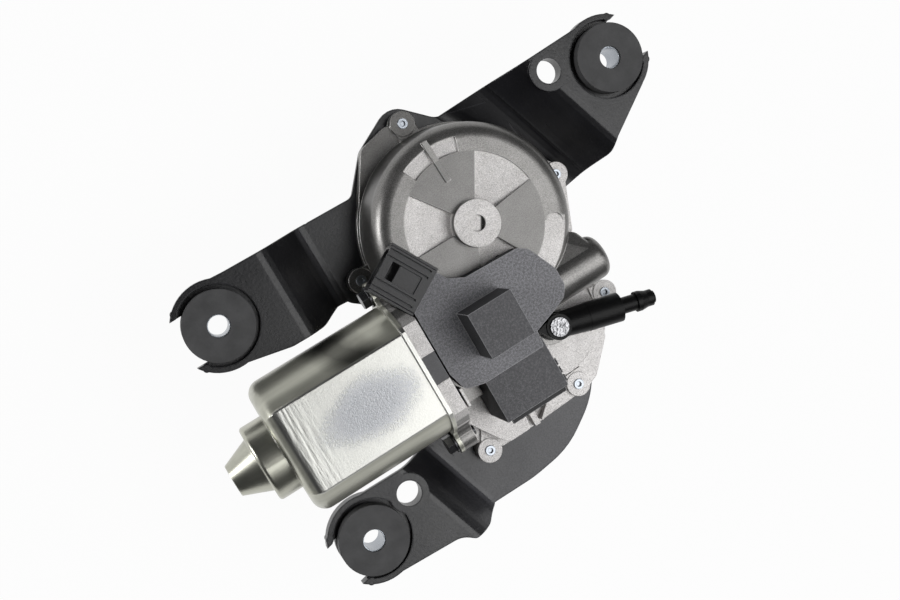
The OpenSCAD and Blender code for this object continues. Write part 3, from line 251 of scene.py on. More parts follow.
class Material:
    """A node material whose patterns follow Object coordinates, in metres."""

    def __init__(self, name: str) -> None:
        """Makes an empty material with a Principled shader.

        Args:
            name: the material's name.
        """
        self.material = bpy.data.materials.new(name)
        self.material.use_nodes = True
        self.tree = self.material.node_tree
        self.tree.nodes.clear()
        self.output = self.node("ShaderNodeOutputMaterial")
        self.shader = self.node("ShaderNodeBsdfPrincipled")
        self.tree.links.new(self.shader.outputs[0], self.output.inputs[0])
        self.place = self.node("ShaderNodeTexCoord").outputs["Object"]
        parts = self.node("ShaderNodeSeparateXYZ", None, Vector=self.place).outputs
        self.x, self.y, self.z = (Value(self.tree, part) for part in parts)

    def node(self, kind: str, settings: dict[str, Any] | None = None, **sockets: Any) -> bpy.types.Node:
        """Adds a node to the material.

        Args:
            kind: the node's type.
            settings: its own settings, set first.
            sockets: values or links by socket name, with _ for a space.

        Returns:
            The node.
        """
        return add_node(self.tree, kind, settings, sockets)

    def stretched(self, factors: Point) -> bpy.types.NodeSocket:
        """Object coordinates, stretched.

        Args:
            factors: the scale along each axis.

        Returns:
            The vector socket.
        """
        made = self.node("ShaderNodeVectorMath", {"operation": "MULTIPLY"}, n0=self.place, n1=factors)
        return made.outputs[0]

    def noise(self, scale: float, detail: float, rough: float, vector: Any = None) -> Value:
        """Noise of a grain size.

        Args:
            scale: grains per metre.
            detail: octaves.
            rough: how strong the finer octaves are.
            vector: coordinates, or None for Object coordinates.

        Returns:
            The noise's factor, about 0.5 on the whole.
        """
        made = self.node("ShaderNodeTexNoise", None, Vector=vector or self.place, Scale=scale,
                         Detail=detail, Roughness=rough)
        return Value(self.tree, made.outputs[0])

    def cells(self, scale: float) -> Value:
        """Distance to the nearest of scattered points, for specks and pits.

        Args:
            scale: points per metre.

        Returns:
            The distance.
        """
        made = self.node("ShaderNodeTexVoronoi", None, Vector=self.place, Scale=scale)
        return Value(self.tree, made.outputs["Distance"])

    def lit_side(self) -> Value:
        """How far a point lies towards the lit side, in metres."""
        return self.x * LIT_SIDE[0] + self.y * LIT_SIDE[1]

    def mix(self, mask: Value | float, low: Any, high: Any) -> bpy.types.NodeSocket:
        """Blends two colours.

        Args:
            mask: 0 for the first colour and 1 for the second.
            low: a colour or a colour socket.
            high: a colour or a colour socket.

        Returns:
            The colour socket.
        """
        made = self.node("ShaderNodeMix", {"data_type": "RGBA"}, n0=mask, n6=rgba(low), n7=rgba(high))
        return made.outputs[2]

    def edges(self, radius: float) -> bpy.types.NodeSocket:
        """Normals with softly rounded edges.

        Args:
            radius: the rounding's radius in metres.

        Returns:
            The normal socket.
        """
        return self.node("ShaderNodeBevel", {"samples": 4}, Radius=radius).outputs[0]

    def wear_and_edge_highlight(self, radius: float, start: float = 0.06, soft: float = 0.08) -> Value:
        """Where edges are worn pale and carry a painted highlight, found from softly rounded normals on
        concave and convex edges alike.

        Args:
            radius: how far from the edge it shows, in metres.
            start: how sharp an edge must be, from 0 for flat to 0.3 for a right angle.
            soft: the width of the rise.

        Returns:
            The mask.
        """
        true = self.node("ShaderNodeNewGeometry").outputs["True Normal"]
        match = self.node("ShaderNodeVectorMath", {"operation": "DOT_PRODUCT"}, n0=self.edges(radius),
                          n1=true)
        return (1 - Value(self.tree, match.outputs["Value"])).above(start, soft)

    def relief(self, height: Value, depth: float, rounding: float) -> None:
        """Feeds a height and softened edges to the shader's normal.

        Args:
            height: the height, from 0 to 1.
            depth: what 1 stands for, in metres.
            rounding: the radius of softened edges, in metres.
        """
        made = self.node("ShaderNodeBump", None, Strength=1.0, Distance=depth, Height=height,
                         Normal=self.edges(rounding))
        self.tree.links.new(made.outputs[0], self.shader.inputs["Normal"])

    def colour(self, value: Any) -> None:
        """Sets or links the base colour.

        Args:
            value: a colour or a colour socket.
        """
        self.set(Base_Color=rgba(value))

    def set(self, **sockets: Any) -> None:
        """Sets or links the shader's own sockets.

        Args:
            sockets: values or links by socket name, with _ for a space.
        """
        for key, value in sockets.items():
            fill(self.tree, socket_of(self.shader, key), value)


@dataclass(frozen=True)
class CastAlloy:
    """Die-cast alloy, pale and rough in its recesses, with smoother, darker ribs and rim; painted light
    makes its low parts pale on the lit side, painted shade darkens the parts below the rim away from the
    light and fills the hub's recess on one side, and its edges are worn pale with a painted highlight.
    """

    name: str = "cast_alloy"
    skin_and_lit_tone: tuple[Colour, Colour] = ((0.32, 0.31, 0.302), (0.86, 0.84, 0.83))
    smooth: tuple[Colour, Colour] = ((0.1, 0.098, 0.094), (0.32, 0.313, 0.304))
    spoke: tuple[Colour, Colour] = ((0.1, 0.098, 0.095), (0.22, 0.216, 0.21))
    shaded: Colour = (0.05, 0.049, 0.047)
    wear_and_highlight_tone: Colour = (0.95, 0.93, 0.91)
    # Painted shade tone: the shadowed side of the hub's recess and a shade line along a step round the
    # output shaft
    pit_and_step_shade: Colour = (0.012, 0.012, 0.011)
    speck: Colour = (0.2, 0.19, 0.18)
    wheel_axis: Pair = (-0.009, 0.054)
    dome_top: float = 0.0345
    rim_depth: float = 0.006
    dish: Pair = (0.0032, 0.00018)
    flat_radius: float = 0.0354
    spoke_radius: float = 0.0291
    step_radii: Pair = (0.0293, 0.0383)
    step_angle: float = -46.0
    step_half: float = 21.5
    hub_top: float = 0.0385
    hub_rise: float = 0.0014
    hub_margin: float = 0.001
    recess: float = 0.0033
    recess_shade: Pair = (0.84, -0.5)
    low_top: float = 0.0156
    lit_from: float = -0.05
    shade_from: float = -0.062
    mouth: Pair = (-0.058, -0.0495)
    mouth_from: float = 0.044
    seam_radius: float = 0.0241
    seam_half: float = 0.00022
    seam_heights: Pair = (0.013, 0.0161)
    seam_from_x: float = 0.001
    seam_to_y: float = -0.008

    def _skin_and_lit_share(self, m: Material) -> Value:
        """Where the pale rough finish shows: the dish floors, the hub's top, the rim's step and the blocks
        by the mouth, and as painted light the low parts on the lit side.

        Args:
            m: the material.

        Returns:
            The mask.
        """
        x = m.x - self.wheel_axis[0]
        y = m.y - self.wheel_axis[1]
        radius = length(x, y)
        deepest, shallowest = self.dish
        below_top = m.z.between(self.dome_top - deepest, self.dome_top - shallowest, 0.0001)
        floors = below_top * (1 - radius.above(self.flat_radius, 0.0001))
        turn = math.radians(self.step_angle)
        facing = x * math.cos(turn) + y * math.sin(turn) - radius * math.cos(math.radians(self.step_half))
        step = below_top * radius.between(*self.step_radii, 0.0001) * facing.above(0.0, 0.0002)
        hub = m.z.between(self.hub_top - self.hub_rise, self.hub_top + self.hub_margin, 0.0001)
        # Painted light: the low parts are made pale only on the lit side
        low = (1 - m.z.above(self.low_top, 0.0004)) * m.lit_side().above(self.lit_from, 0.03)
        blocks = m.x.between(*self.mouth, 0.0005) * m.z.above(self.mouth_from, 0.001)
        return (floors + step + hub + low + blocks).at_most_one()

    def _spoke_share(self, m: Material) -> Value:
        """Where the smoother, darker spokes lie, inside the rim and below the hub's top.

        Args:
            m: the material.

        Returns:
            The mask.
        """
        radius = length(m.x - self.wheel_axis[0], m.y - self.wheel_axis[1])
        in_dish = m.z.above(self.dome_top - self.rim_depth, 0.001)
        return (1 - radius.above(self.spoke_radius, 0.0002)) * in_dish

    def _pit_share(self, m: Material) -> Value:
        """Where shade fills one side of the hub's recess.

        Args:
            m: the material.

        Returns:
            The mask.
        """
        x = m.x - self.wheel_axis[0]
        y = m.y - self.wheel_axis[1]
        inside = 1 - length(x, y).above(self.recess, 0.00015)
        side = x * self.recess_shade[0] + y * self.recess_shade[1]
        in_hub = m.z.between(self.hub_top - self.hub_rise, self.hub_top, 0.0001)
        return inside * in_hub * side.above(self.recess * 0.45, 0.0006)

    def _step_shade_share(self, m: Material) -> Value:
        """Where a painted shade line runs along a ring on the link chamber, round the output shaft, for a
        step that is not modelled.

        Args:
            m: the material.

        Returns:
            The mask.
        """
        inner = self.seam_radius - self.seam_half
        outer = self.seam_radius + self.seam_half
        ring = length(m.x, m.y).between(inner, outer, 0.0002)
        quarter = m.x.above(self.seam_from_x, 0.002) * (1 - m.y.above(self.seam_to_y, 0.004))
        return ring * m.z.between(*self.seam_heights, 0.0002) * quarter

    def make(self) -> bpy.types.Material:
        """Builds the material."""
        m = Material(self.name)
        grain = m.noise(2400, 3, 0.75)
        flow = m.noise(85, 4, 0.55)
        specks = 1 - m.cells(1300).above(0.2, 0.12)
        share = self._skin_and_lit_share(m)
        tone = (flow * 0.8 + grain * 2.4 - 1.1).at_most_one()
        smooth = m.mix(self._spoke_share(m), m.mix(tone, *self.smooth), m.mix(tone, *self.spoke))
        facing_away = 1 - m.lit_side().above(self.shade_from, 0.05)
        shade = facing_away * (1 - m.z.above(self.dome_top - self.rim_depth, 0.006)) * 0.55
        body = m.mix(share, m.mix(shade, smooth, self.shaded), m.mix(tone, *self.skin_and_lit_tone))
        # Edges worn pale, with a painted highlight along them
        body = m.mix(m.wear_and_edge_highlight(0.0006) * 0.6, body, self.wear_and_highlight_tone)
        # Painted shade: a shadow on one side of the hub's recess and a shade line along a step ring
        painted_shade = (self._pit_share(m) + self._step_shade_share(m) * 0.8).at_most_one()
        m.colour(m.mix(specks * (share * 0.25 + 0.15), m.mix(painted_shade, body, self.pit_and_step_shade), self.speck))
        m.set(Metallic=0.75, Roughness=grain * 0.2 + flow * 0.1 + share * 0.16 + 0.2)
        m.relief((grain + specks * 0.4) * (share * 0.75 + 0.25) + flow * 0.6, 0.00009, 0.0005)
        return m.material


@dataclass(frozen=True)
class DrawnCan:
    """Plated steel, drawn deep: bright sanded flats, darker round sides and ripples at the closed end."""

    name: str = "drawn_can"
    sides: tuple[Colour, Colour] = ((0.34, 0.34, 0.29), (0.6, 0.6, 0.52))
    flats: tuple[Colour, Colour] = ((0.36, 0.36, 0.34), (0.52, 0.52, 0.494))
    sanded: Colour = (0.44, 0.447, 0.47)
    band_tone: Colour = (0.05, 0.05, 0.045)
    wear_and_highlight_tone: Colour = (0.85, 0.85, 0.82)
    closed_end: float = -0.121
    axis_z: float = 0.025
    half_flat: float = 0.0232
    flat_margin: float = 0.0006
    patch: Pair = (-0.0835, 0.0152)
    patch_half: Pair = (0.0195, 0.0105)
    ripples_to: float = 0.014
    dark_band: Pair = (-0.094, -0.079)
    band_slant: float = 0.9
    band_middle_y: float = 0.044
    band_from_y: float = 0.03

    def _patch_share(self, m: Material, cloud: Value, sand: Value) -> Value:
        """The sanded oval on a flat, with a grainy fade.

        Args:
            m: the material.
            cloud: coarse noise.
            sand: fine noise.

        Returns:
            The mask.
        """
        x = (m.x - self.patch[0]) / self.patch_half[0]
        y = (m.y - self.patch[1]) / self.patch_half[1]
        return 1 - (length(x, y) + cloud * 0.6 + sand * 1.6).above(2.05, 0.45)

    def _band_share(self, m: Material, cloud: Value) -> Value:
        """The dark reflection that crosses the upper round side at a slant.

        Args:
            m: the material.
            cloud: coarse noise.

        Returns:
            The mask.
        """
        slanted = m.x + (m.y - self.band_middle_y) * self.band_slant + cloud * 0.012 - 0.006
        return slanted.between(*self.dark_band, 0.009) * m.y.above(self.band_from_y, 0.01)

    def make(self) -> bpy.types.Material:
        """Builds the material."""
        m = Material(self.name)
        along = m.x - self.closed_end
        height = m.z - self.axis_z
        beside_end = along.above(0.001, 0.002)
        flat = ((height * height) ** 0.5).above(self.half_flat - self.flat_margin, 0.0005) * beside_end
        cloud = m.noise(60, 3, 0.5)
        streaks = m.noise(260, 3, 0.55, m.stretched((0.1, 1.0, 1.0)))
        sand = m.noise(1500, 3, 0.7)
        ripple = m.noise(560, 2, 0.5, m.stretched((1.0, 0.12, 0.3)))
        patch = flat * height.above(0.0, 0.001) * self._patch_share(m, cloud, sand)
        band = self._band_share(m, cloud) * (1 - flat)
        near_end = flat * (1 - along.above(self.ripples_to, 0.012))
        side_tone = (streaks * 0.9 + cloud * 0.7 - 0.3).at_most_one()
        flat_tone = (sand * 0.5 + cloud * 0.6).at_most_one()
        bright = m.mix(patch * 0.9, m.mix(flat_tone, *self.flats), self.sanded)
        side = m.mix(band * 0.8, m.mix(side_tone, *self.sides), self.band_tone)
        # Edges worn pale, with a painted highlight along them
        m.colour(m.mix(m.wear_and_edge_highlight(0.001, 0.06, 0.1) * 0.4, m.mix(flat, side, bright), self.wear_and_highlight_tone))
        m.set(Metallic=1 - (1 - flat) * (1 - band) * beside_end * 0.35,
              Roughness=cloud * 0.08 + sand * 0.06 + patch * 0.14 + 0.24)
        m.relief(ripple * near_end * 1.3 + sand * (patch * 0.9 + flat * 0.3 + 0.02) + streaks * 0.08,
                 0.00014, 0.0005)
        return m.material


@dataclass(frozen=True)
class CoatedSheet:
    """Black dip-coated sheet steel with a cool sheen; painted light makes it paler towards the lit side, a
    painted highlight runs along its low creases, and its edges are worn pale with a painted highlight.
    """

    name: str = "coated_sheet"
    deep: Colour = (0.004, 0.004, 0.0045)
    worn: Colour = (0.02, 0.02, 0.0245)
    pale: Colour = (0.115, 0.115, 0.13)
    wear_and_highlight_tone: Colour = (0.1, 0.1, 0.11)
    bow_way: Pair = (0.84, 0.54)
    bow_from: float = 0.062
    bow: float = 0.5
    base_top: float = 0.0034
    bend_highlight_heights: Pair = (0.0027, 0.0038)
    land_from: float = 0.012

    def make(self) -> bpy.types.Material:
        """Builds the material."""
        m = Material(self.name)
        orange_peel = m.noise(900, 3, 0.5)
        cloud = m.noise(70, 3, 0.5)
        grain = m.noise(1500, 3, 0.75)
        dust = 1 - m.cells(700).above(0.12, 0.06)
        along = m.x * self.bow_way[0] + m.y * self.bow_way[1] - self.bow_from
        bowed = along.above(0.0, 0.008) * (1 - m.z.above(self.base_top, 0.0004))
        coat = m.mix((dust * 0.6 + cloud * 0.4 + grain * 0.4 - 0.1).at_most_one(), self.deep, self.worn)
        lit = m.lit_side().above(0.02, 0.07) * grain.above(0.52, 0.5)
        lit = lit * (1 - m.z.above(self.land_from, 0.002) * 0.7)
        # Painted highlight along the arms' low creases
        bend_highlight = m.z.between(*self.bend_highlight_heights, 0.0008) * (1 - m.x.above(0.0, 0.01)) * (grain * 0.6 + 0.1)
        coat = m.mix(bend_highlight.at_most_one(), m.mix(lit, coat, self.pale), self.wear_and_highlight_tone)
        # Edges worn pale, with a painted highlight along them
        m.colour(m.mix(m.wear_and_edge_highlight(0.0006) * 0.6, coat, self.wear_and_highlight_tone))
        m.set(Roughness=orange_peel * 0.14 + cloud * 0.14 + dust * 0.1 + bowed * 0.12 + 0.18,
              Specular_IOR_Level=0.5)
        m.relief((orange_peel * 0.9 + dust * 0.3) * 0.00005 + along * bowed * self.bow, 1.0, 0.0008)
        return m.material


@dataclass(frozen=True)
class Rubber:
    """Matte moulded rubber with a bloom of dust."""

    name: str = "rubber"
    base: Colour = (0.035, 0.035, 0.036)
    bloom: Colour = (0.115, 0.115, 0.118)
    roughness: float = 0.62

    def make(self) -> bpy.types.Material:
        """Builds the material."""
        m = Material(self.name)
        pores = m.noise(3000, 3, 0.6)
        cloud = m.noise(150, 3, 0.55)
        m.colour(m.mix((cloud * 0.8 + pores * 0.3 - 0.1).at_most_one(), self.base, self.bloom))
        m.set(Roughness=pores * 0.2 + (self.roughness - 0.1), Specular_IOR_Level=0.4)
        m.relief(pores + cloud * 0.6, 0.00005, 0.0005)
        return m.material


@dataclass(frozen=True)
class MouldedPlastic:
    """Moulded plastic with a spark-eroded texture, pale fibre specks and edges worn pale with a painted
    highlight.
    """

    name: str
    base: Colour
    speck: Colour
    specks: float = 0.0
    roughness: float = 0.5
    texture: float = 0.00005
    specular: float = 0.45
    edge: Colour | None = None

    def _face(self, m: Material, tone: Value) -> bpy.types.NodeSocket:
        """The colour away from the edges.

        Args:
            m: the material.
            tone: where the specks lie.

        Returns:
            The colour socket.
        """
        return m.mix(tone.at_most_one(), self.base, self.speck)

    def make(self) -> bpy.types.Material:
        """Builds the material."""
        m = Material(self.name)
        grain = m.noise(2300, 3, 0.65)
        coarse = m.noise(1150, 2, 0.5)
        cloud = m.noise(80, 2, 0.5)
        tone = coarse.above(0.5, 0.3) * grain.above(0.5, 0.35) * self.specks + cloud * 0.12
        face = self._face(m, tone)
        if self.edge is not None:
            # Edges worn pale, with a painted highlight along them
            face = m.mix(m.wear_and_edge_highlight(0.0005) * 0.7, face, self.edge)
        m.colour(face)
        m.set(Roughness=grain * 0.22 + (self.roughness - 0.11), Specular_IOR_Level=self.specular)
        m.relief(grain * 0.8 + coarse * 0.5, self.texture, 0.00035)
        return m.material


@dataclass(frozen=True)
class CoverPlastic(MouldedPlastic):
    """The electronics cover's plastic: speckled on its plate, calmer on its boxes, with painted shade on
    their walls and on the parts below the plate.
    """

    plate: Pair = (0.043, 0.0436)
    walls: Pair = (0.0425, 0.061)
    wall_margin: float = 0.0003
    wall_shade_tone: Colour = (0.006, 0.006, 0.0065)

    def _face(self, m: Material, tone: Value) -> bpy.types.NodeSocket:
        """The colour away from the edges.

        Args:
            m: the material.
            tone: where the specks lie.

        Returns:
            The colour socket.
        """
        calm = 1 - m.z.between(*self.plate, 0.0001)
        quieter = (tone * (1 - calm * 0.75)).at_most_one()
        deep = tuple(part * 0.5 for part in self.base)
        face = m.mix(quieter, m.mix(calm, self.base, deep), self.speck)
        lowest, highest = self.walls
        # Painted shade: the boxes' walls and the parts below the plate are made near black
        shaded_wall = m.z.between(self.plate[1] + self.wall_margin, highest, 0.0002)
        shaded_wall = (shaded_wall + 1 - m.z.above(lowest, 0.0002)).at_most_one()
        return m.mix(shaded_wall * 0.85, face, self.wall_shade_tone)


@dataclass(frozen=True)
class Metal:
    """Plain worked metal: turned, ground, plated or sintered."""

    name: str
    light: Colour
    dark: Colour
    roughness: float = 0.3
    grain: Grain = Grain.EVEN
    metallic: float = 1.0
    depth: float = 0.00002
    rounding: float = 0.0003
    forged_above: float | None = None

    def make(self) -> bpy.types.Material:
        """Builds the material."""
        m = Material(self.name)
        lines = m.noise(2400, 3, 0.6, m.stretched(self.grain.value))
        cloud = m.noise(180, 3, 0.5)
        tone = lines * 0.6 + cloud * 0.6 - 0.1
        height = lines + cloud * 0.4
        if self.forged_above is not None:
            forged = m.z.above(self.forged_above, 0.0001)
            dents = m.cells(950) * forged
            tone = tone - forged * 0.55 + dents * 0.5
            height = height + dents * 14
        m.colour(m.mix(tone.at_most_one(), self.dark, self.light))
        m.set(Metallic=self.metallic, Roughness=lines * 0.18 + cloud * 0.1 + (self.roughness - 0.14))
        m.relief(height, self.depth, self.rounding)
        return m.material


@dataclass(frozen=True)
class CircuitBoard:
    """Solder resist over faint tracks."""

    name: str = "board"
    resist: Colour = (0.02, 0.13, 0.05)
    track: Colour = (0.04, 0.22, 0.09)

    def make(self) -> bpy.types.Material:
        """Builds the material."""
        m = Material(self.name)
        runs = m.noise(420, 1, 0.3, m.stretched((1.0, 0.2, 1.0))).above(0.5, 0.03)
        m.colour(m.mix(runs, self.resist, self.track))
        m.set(Roughness=0.3 + 0.1 * runs)
        m.relief(runs, 0.00004, 0.0002)
        return m.material


def metal_finishes() -> dict[str, Finish]:
    """The castings, sheets and worked metals, by material slot."""
    worked = (
        Metal("zinc_steel", (0.46, 0.49, 0.53), (0.22, 0.24, 0.27)),
        Metal("plate_steel", (0.56, 0.56, 0.54), (0.4, 0.4, 0.38), 0.36),
        Metal("ferrite", (0.11, 0.11, 0.12), (0.06, 0.06, 0.065), 0.6, metallic=0.2),
        Metal("bronze", (0.55, 0.38, 0.2), (0.36, 0.23, 0.11), 0.42),
        Metal("spring_steel", (0.36, 0.36, 0.38), (0.22, 0.22, 0.24), 0.35),
        Metal("shaft_steel", (0.6, 0.6, 0.62), (0.3, 0.3, 0.31), grain=Grain.TURNED_Z, forged_above=0.0355),
        Metal("dark_screw", (0.1, 0.1, 0.105), (0.05, 0.05, 0.055), metallic=0.8),
        Metal("core_steel", (0.28, 0.28, 0.3), (0.15, 0.15, 0.16), 0.45, metallic=0.8),
        Metal("copper", (0.62, 0.27, 0.11), (0.4, 0.15, 0.06), grain=Grain.ALONG_X),
        Metal("worm_steel", (0.5, 0.5, 0.52), (0.32, 0.32, 0.34), 0.28),
        Metal("brass_strip", (0.78, 0.62, 0.28), (0.55, 0.42, 0.16)),
        Metal("sintered", (0.36, 0.36, 0.37), (0.2, 0.2, 0.21), 0.5, metallic=0.85),
    )
    formed = {"bracket_coat": CoatedSheet(), "cast_alloy": CastAlloy(), "can_steel": DrawnCan()}
    return formed | {metal.name: metal for metal in worked}


def moulded_finishes() -> dict[str, Finish]:
    """The plastics, rubbers, brush carbon and circuit board, by material slot."""
    plastics = (
        MouldedPlastic("white_plastic", (0.72, 0.7, 0.62), (0.82, 0.8, 0.74), 0.3, 0.42),
        MouldedPlastic("holder_plastic", (0.1, 0.1, 0.105), (0.17, 0.17, 0.18), 0.5,
                       edge=(0.25, 0.25, 0.26)),
        MouldedPlastic("carbon", (0.03, 0.03, 0.032), (0.07, 0.07, 0.072), 0.5, 0.45),
        MouldedPlastic("black_nylon", (0.014, 0.014, 0.015), (0.035, 0.035, 0.038), 0.6, 0.36,
                       edge=(0.1, 0.1, 0.11)),
        MouldedPlastic("relay_case", (0.05, 0.06, 0.12), (0.08, 0.09, 0.15), 0.3, 0.35),
        CoverPlastic("cover_nylon", (0.135, 0.134, 0.144), (0.31, 0.31, 0.33), 1.5, 0.55, 0.00008,
                     edge=(0.6, 0.6, 0.62)),
    )
    gasket = Rubber("gasket_rubber", (0.012, 0.012, 0.012), (0.03, 0.03, 0.03), 0.5)
    others = {"bush_rubber": Rubber(), "gasket_rubber": gasket, "board": CircuitBoard()}
    return others | {plastic.name: plastic for plastic in plastics}


class FinishBook:
    """All finishes, made once and looked up by the record's material slot."""

    def __init__(self) -> None:
        """Makes every material."""
        finishes = metal_finishes() | moulded_finishes()
        self.by_slot = {slot: finish.make() for slot, finish in finishes.items()}
        fitting = MouldedPlastic("fitting_nylon", (0.006, 0.006, 0.006), (0.014, 0.014, 0.015), 0.5, 0.36,
                                 specular=0.14)
        self.by_node = {"washer_fitting": fitting.make()}

    def dress(self, frame: dict[str, Any]) -> int:
        """Puts each CAD node's finish on it.


        Returns:
            How many nodes were dressed.
        """
        slots = {row["node"]: row["material_slot"] for row in frame["record"]["subparts"]}
        for name, node in frame["nodes"].items():
            finish = self.by_node.get(name, self.by_slot[slots[name]])
            if not node.material_slots:
                node.data.materials.append(finish)
            for place in node.material_slots:
                place.material = finish
        return len(slots)


class NodePattern:
    """A Geometry Nodes tree that makes a repeated form, and the plain mesh it turns into."""

    def __init__(self, name: str, finish: bpy.types.Material) -> None:
        """Starts a tree.

        Args:
            name: the name of the tree and of the finished piece.
            finish: the piece's material.
        """
        self.name = name
        self.finish = finish
        self.tree = bpy.data.node_groups.new(name, "GeometryNodeTree")
        self.tree.interface.new_socket("Geometry", in_out="OUTPUT", socket_type="NodeSocketGeometry")
        self.inputs = self.tree.nodes.new("NodeGroupInput")
        self.sizes: dict[str, float | int] = {}

    def size(self, name: str, value: float | int) -> bpy.types.NodeSocket:
        """Adds a named input.

        Args:
            name: the input's name.
            value: its value, a whole number for a count.

        Returns:
            The input's socket inside the tree.
        """
        kind = "NodeSocketInt" if isinstance(value, int) else "NodeSocketFloat"
        made = self.tree.interface.new_socket(name, in_out="INPUT", socket_type=kind)
        self.sizes[made.identifier] = value
        return self.inputs.outputs[name]

    def add(self, kind: str, settings: dict[str, Any] | None = None, **sockets: Any) -> bpy.types.NodeSocket:
        """Adds a node to the tree.

        Args:
            kind: the node's type.
            settings: its own settings, set first.
            sockets: values or links by socket name, with _ for a space.

        Returns:
            The node's first output.
        """
        return add_node(self.tree, kind, settings, sockets).outputs[0]

    def bake(self, geometry: bpy.types.NodeSocket, place: Matrix) -> bpy.types.Object:
        """Ends the tree, evaluates it and leaves a plain mesh at the origin.

        Args:
            geometry: the tree's result.
            place: where the result goes.

        Returns:
            The finished object.
        """
        real = self.add("GeometryNodeRealizeInstances", None, Geometry=geometry)
        dressed = self.add("GeometryNodeSetMaterial", None, Geometry=real, Material=self.finish)
        output = self.tree.nodes.new("NodeGroupOutput")
        self.tree.links.new(dressed, output.inputs[0])
        holder = bpy.data.objects.new(self.name + "_seed", bpy.data.meshes.new(self.name + "_seed"))
        bpy.context.scene.collection.objects.link(holder)
        modifier = holder.modifiers.new("pattern", "NODES")
        modifier.node_group = self.tree
        for identifier, value in self.sizes.items():
            modifier[identifier] = value
        evaluated = holder.evaluated_get(bpy.context.evaluated_depsgraph_get())
        mesh = bpy.data.meshes.new_from_object(evaluated)
        mesh.name = self.name
        bpy.data.objects.remove(holder)
        mesh.transform(place)
        made = bpy.data.objects.new(self.name, mesh)
        bpy.context.scene.collection.objects.link(made)
        return made


@dataclass
class OutputEnd:
    """The shaft's outer end: ribs on the knurled cone and crests on the threaded tip."""

    finish: bpy.types.Material
    cone_middle: Point = (0.0, 0.0, -0.0265)
    cone_radius: float = 0.0043
    cone_lean: float = -0.043
    ribs: int = 40
    rib_foot: float = 0.0003
    rib_tip: float = 0.00021
    rib_length: float = 0.0062
    thread_start: Point = (0.0, 0.0, -0.040725)
    thread_radius: float = 0.0033
    crests: int = 8
    crest_radius: float = 0.0003
    pitch: float = 0.00125

    def _knurl(self) -> bpy.types.Object:
        """Makes a ring of small ribs that lean with the cone."""
        p = NodePattern("shaft_knurl", self.finish)
        circle = p.add("GeometryNodeMeshCircle", None, Vertices=p.size("Ribs", self.ribs),
                       Radius=p.size("Radius", self.cone_radius))
        rib = p.add("GeometryNodeMeshCone", None, Vertices=4,
                    Radius_Top=p.size("Rib tip", self.rib_tip),
                    Radius_Bottom=p.size("Rib foot", self.rib_foot),
                    Depth=p.size("Rib length", self.rib_length))
        position = p.add("GeometryNodeInputPosition")
        turn = p.add("FunctionNodeAlignRotationToVector", {"axis": "X"}, Vector=position)
        lean = p.add("FunctionNodeRotateRotation", {"rotation_space": "LOCAL"}, Rotation=turn,
                     Rotate_By=(0.0, self.cone_lean, 0.0))
        ring = p.add("GeometryNodeInstanceOnPoints", None, Points=circle, Instance=rib, Rotation=lean)
        return p.bake(ring, Matrix.Translation(self.cone_middle))

    def _thread(self) -> bpy.types.Object:
        """Makes a stack of rings, one for each crest."""
        p = NodePattern("shaft_thread", self.finish)
        step = p.add("ShaderNodeCombineXYZ", None, Z=p.size("Pitch", self.pitch))
        line = p.add("GeometryNodeMeshLine", {"mode": "OFFSET"}, Count=p.size("Crests", self.crests),
                     Offset=step)
        circle = p.add("GeometryNodeCurvePrimitiveCircle", None, Resolution=48,
                       Radius=p.size("Radius", self.thread_radius))
        section = p.add("GeometryNodeCurvePrimitiveCircle", None, Resolution=8,
                        Radius=p.size("Crest radius", self.crest_radius))
        ring = p.add("GeometryNodeCurveToMesh", None, Curve=circle, Profile_Curve=section)
        stack = p.add("GeometryNodeInstanceOnPoints", None, Points=line, Instance=ring)
        return p.bake(stack, Matrix.Translation(self.thread_start))

    def build(self) -> list[bpy.types.Object]:
        """Makes the ribs and the thread crests.

        Returns:
            The pieces, riding on the output body.
        """
        pieces = [self._knurl(), self._thread()]
        for piece in pieces:
            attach(piece, Body.OUTPUT.value)
        return pieces


@dataclass(frozen=True)
class Lamp:
    """One square soft lamp."""

    name: str
    place: Point
    aim: Point
    size: float
    watts: float

    def hang(self) -> None:
        """Adds the lamp to the scene, facing its aim."""
        light = bpy.data.lights.new(self.name, "AREA")
        light.shape = "SQUARE"
        light.size = self.size
        light.energy = self.watts
        lamp = bpy.data.objects.new(self.name, light)
        bpy.context.scene.collection.objects.link(lamp)
        lamp.location = self.place
        lamp.rotation_euler = (Vector(self.aim) - Vector(self.place)).to_track_quat("-Z", "Y").to_euler()


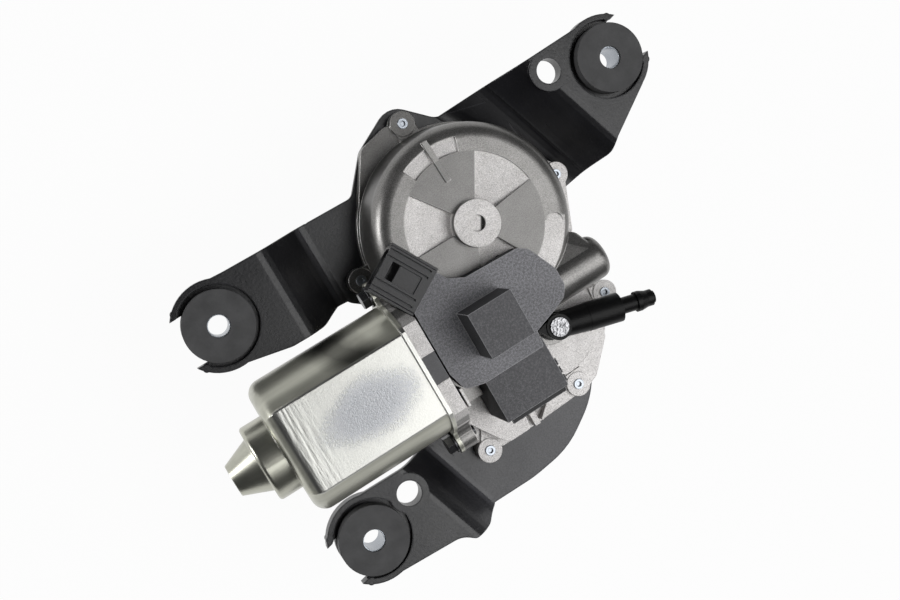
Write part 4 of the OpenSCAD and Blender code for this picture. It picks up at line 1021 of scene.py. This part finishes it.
@dataclass
class Studio:
    """Floor, lamps, world and the camera at the photograph's place."""

    camera_place: Point = (-0.12611, 0.10477, 0.51709)
    camera_back: Point = (-0.18636, 0.14469, 0.97177)
    camera_up: Point = (0.51467, 0.8569, -0.02888)
    focal_mm: float = 49.8
    sensor_mm: float = 36.0
    floor_z: float = -0.06
    floor_half: float = 40.0
    floor_grey: Colour = (0.4, 0.4, 0.4)
    floor_glow: float = 1.06
    glow_share: float = 0.9
    fill_tint: Colour = (0.95, 0.97, 1.0)
    fill_strength: float = 0.06
    lamps: tuple[Lamp, ...] = (
        Lamp("overhead", (0.28, -0.26, 0.85), (0.0, 0.0, 0.0), 0.75, 5.4),
        Lamp("left_strip", (-0.85, 0.52, 0.27), (0.0, 0.02, 0.0), 0.3, 4.2),
        Lamp("right_bank", (0.8, -0.5, 0.4), (0.0, 0.02, 0.0), 0.5, 1.2),
    )

    def build(self) -> None:
        """Makes the floor, the world, the lamps and the camera."""
        self._floor()
        self._world()
        for lamp in self.lamps:
            lamp.hang()
        self._camera()

    def _floor(self) -> None:
        """Lays a pale floor that shows as white and keeps a soft shadow."""
        mesh = bpy.data.meshes.new("studio_floor")
        corners = [(x * self.floor_half, y * self.floor_half, self.floor_z)
                   for x, y in ((-1, -1), (1, -1), (1, 1), (-1, 1))]
        mesh.from_pydata(corners, [], [(0, 1, 2, 3)])
        floor = bpy.data.objects.new("studio_floor", mesh)
        bpy.context.scene.collection.objects.link(floor)
        m = Material("studio_floor")
        m.colour(self.floor_grey)
        m.set(Roughness=0.9, Specular_IOR_Level=0.1)
        path = m.node("ShaderNodeLightPath")
        seen = Value(m.tree, path.outputs["Is Camera Ray"]) + Value(m.tree, path.outputs["Is Glossy Ray"])
        seen = (seen + Value(m.tree, path.outputs["Is Transmission Ray"])).at_most_one()
        glow = m.node("ShaderNodeEmission", None, Color=rgba((1.0, 1.0, 1.0)), Strength=self.floor_glow)
        both = m.node("ShaderNodeMixShader", None, n0=seen * self.glow_share, n1=m.shader.outputs[0],
                      n2=glow.outputs[0])
        m.tree.links.new(both.outputs[0], m.output.inputs[0])
        mesh.materials.append(m.material)

    def _world(self) -> None:
        """Gives an even, neutral fill light."""
        world = bpy.data.worlds.new("studio_world")
        bpy.context.scene.world = world
        world.use_nodes = True
        background = world.node_tree.nodes["Background"]
        background.inputs["Color"].default_value = rgba(self.fill_tint)
        background.inputs["Strength"].default_value = self.fill_strength

    def _camera(self) -> None:
        """Sets the camera where the photograph was taken from."""
        data = bpy.data.cameras.new("photo_camera")
        data.lens = self.focal_mm
        data.sensor_width = self.sensor_mm
        data.clip_start = 0.01
        camera = bpy.data.objects.new("photo_camera", data)
        bpy.context.scene.collection.objects.link(camera)
        back = Vector(self.camera_back).normalized()
        right = Vector(self.camera_up).cross(back).normalized()
        up = back.cross(right)
        turned = Matrix((right, up, back)).transposed().to_4x4()
        camera.matrix_world = Matrix.Translation(self.camera_place) @ turned
        bpy.context.scene.camera = camera


def main() -> None:
    """Builds the scene in order."""
    logging.basicConfig(level=logging.INFO)
    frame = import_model()
    bpy.context.scene.view_settings.view_transform = "Standard"
    Studio().build()
    book = FinishBook()
    LOG.info("dressed %d nodes", book.dress(frame))
    for piece in OutputEnd(book.by_slot["shaft_steel"]).build():
        LOG.info("made %s", piece.name)


if __name__ == "__main__":
    main()
